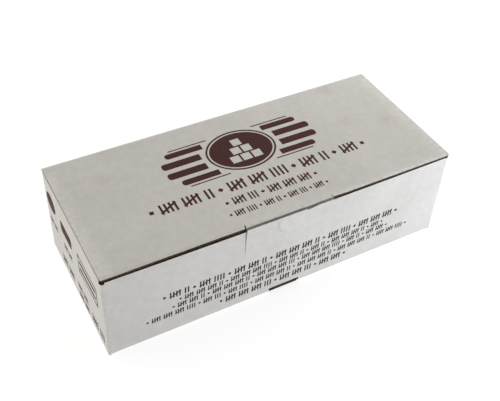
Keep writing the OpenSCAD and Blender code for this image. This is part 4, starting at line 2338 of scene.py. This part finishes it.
@dataclass
class Studio:
    """Floor, lights and the camera at the photograph's place."""

    finishes: Finishes
    focal_px: float = 794.7
    image_w: float = 500.0
    image_h: float = 401.0
    sensor: float = 36.0
    clip: Span = (0.02, 30.0)
    azimuth: float = -30.13
    elevation: float = 41.47
    roll: float = 2.82
    middle_px: Span = (243.0, 168.2)
    distance: float = 552.6
    slide: Span = (-3.48, 21.86)
    floor_size: float = 9000.0
    floor_z: float = -0.15
    room_level: float = 0.70
    room_lean: Point = (-0.25, 0.8, 0.0)
    room_least: float = 0.04
    room_tint: Colour = (1.0, 0.985, 0.955, 1.0)
    lamps: Sequence[Lamp] = (
        Lamp("key", (0.42, -0.34, 0.09), (0.06, -0.05, 0.03), (0.3, 0.24), 2.3, (0.85, 0.90, 1.0)),
        Lamp("top", (0.17, 0.11, 0.17), (0.06, 0.02, 0.07), (0.08, 0.08), 0.045, in_view=False),
    )

    def floor(self) -> None:
        """Lays the white floor under the box."""
        obj = start_sheet("floor", (0.0, 0.0, self.floor_z), (self.floor_size, self.floor_size))
        with Bench(obj):
            bpy.ops.mesh.select_all(action="SELECT")
            bpy.ops.mesh.subdivide(number_cuts=6)
        obj.data.materials.append(self.finishes.floor)

    def light(self) -> None:
        """Sets a room that is dimmer on the front's side but plain white to look at, and hangs the lamps."""
        scene = bpy.context.scene
        scene.view_settings.view_transform = "Standard"
        scene.world = bpy.data.worlds.new("white_room")
        scene.world.use_nodes = True
        room = Nodes(scene.world.node_tree)
        lean = room.add("ShaderNodeVectorMath", operation="DOT_PRODUCT")
        room.feed(lean, 0, (room.place, "Generated"))
        room.feed(lean, 1, self.room_lean)
        level = room.math("ADD", (lean, "Value"), self.room_level)
        rays = room.add("ShaderNodeLightPath")
        shown = room.math("MAXIMUM", room.math("MAXIMUM", level, self.room_least), (rays, "Is Camera Ray"))
        background = room.tree.nodes["Background"]
        room.feed(background, "Strength", shown)
        room.feed(background, "Color", self.room_tint)
        for lamp in self.lamps:
            lamp.hang()

    def camera(self) -> None:
        """Stands the camera where the photograph was taken from."""
        az, el, roll = (math.radians(a) for a in (self.azimuth, self.elevation, self.roll))
        back = Vector((math.sin(az) * math.cos(el), -math.cos(az) * math.cos(el), math.sin(el)))
        level = Vector((math.cos(az), math.sin(az), 0.0))
        upright = back.cross(level)
        right = level * math.cos(roll) + upright * math.sin(roll)
        up = upright * math.cos(roll) - level * math.sin(roll)
        middle = Vector((0.0, 0.0, CAD_BOX[1].z / MM / 2))
        place = middle + right * self.slide[0] + up * self.slide[1] + back * self.distance
        bpy.ops.object.camera_add()
        camera = bpy.context.active_object
        camera.matrix_world = Matrix.Translation(place * MM) @ Matrix((right, up, back)).transposed().to_4x4()
        camera.data.sensor_width = self.sensor
        camera.data.lens = self.focal_px * self.sensor / self.image_w
        camera.data.shift_x = (self.image_w / 2 - self.middle_px[0]) / self.image_w
        camera.data.shift_y = (self.middle_px[1] - self.image_h / 2) / self.image_w
        camera.data.clip_start, camera.data.clip_end = self.clip
        bpy.context.scene.camera = camera


def dress_nodes(finishes: Finishes) -> None:
    """Gives the CAD nodes that stay their finish.

    Args:
        finishes: The scene's materials.
    """
    for name, node in frame["nodes"].items():
        if name.startswith("chalk_layer"):
            for holder in node.material_slots:
                holder.material = finishes.chalk


def main() -> None:
    """Builds every piece in order and reports it."""
    logging.basicConfig(level=logging.INFO, format="%(name)s: %(message)s")
    sizes = CartonSizes.from_frame()
    shape = CardShape(sizes)
    finishes = Finishes()
    studio = Studio(finishes)
    studio.camera()
    studio.light()
    studio.floor()
    pieces = [
        Tray(sizes, shape, finishes).build(),
        Lid(sizes, shape, finishes).build(),
        *LidFold(sizes, shape, finishes).build(),
        *Flutes(sizes, shape, finishes).build(),
        ChalkSticks(finishes).build(),
        *Print(sizes, shape, finishes).build(),
    ]
    dress_nodes(finishes)
    for piece in pieces:
        LOG.info("%s: %d faces", piece.name, len(piece.data.polygons))


if __name__ == "__main__":
    main()
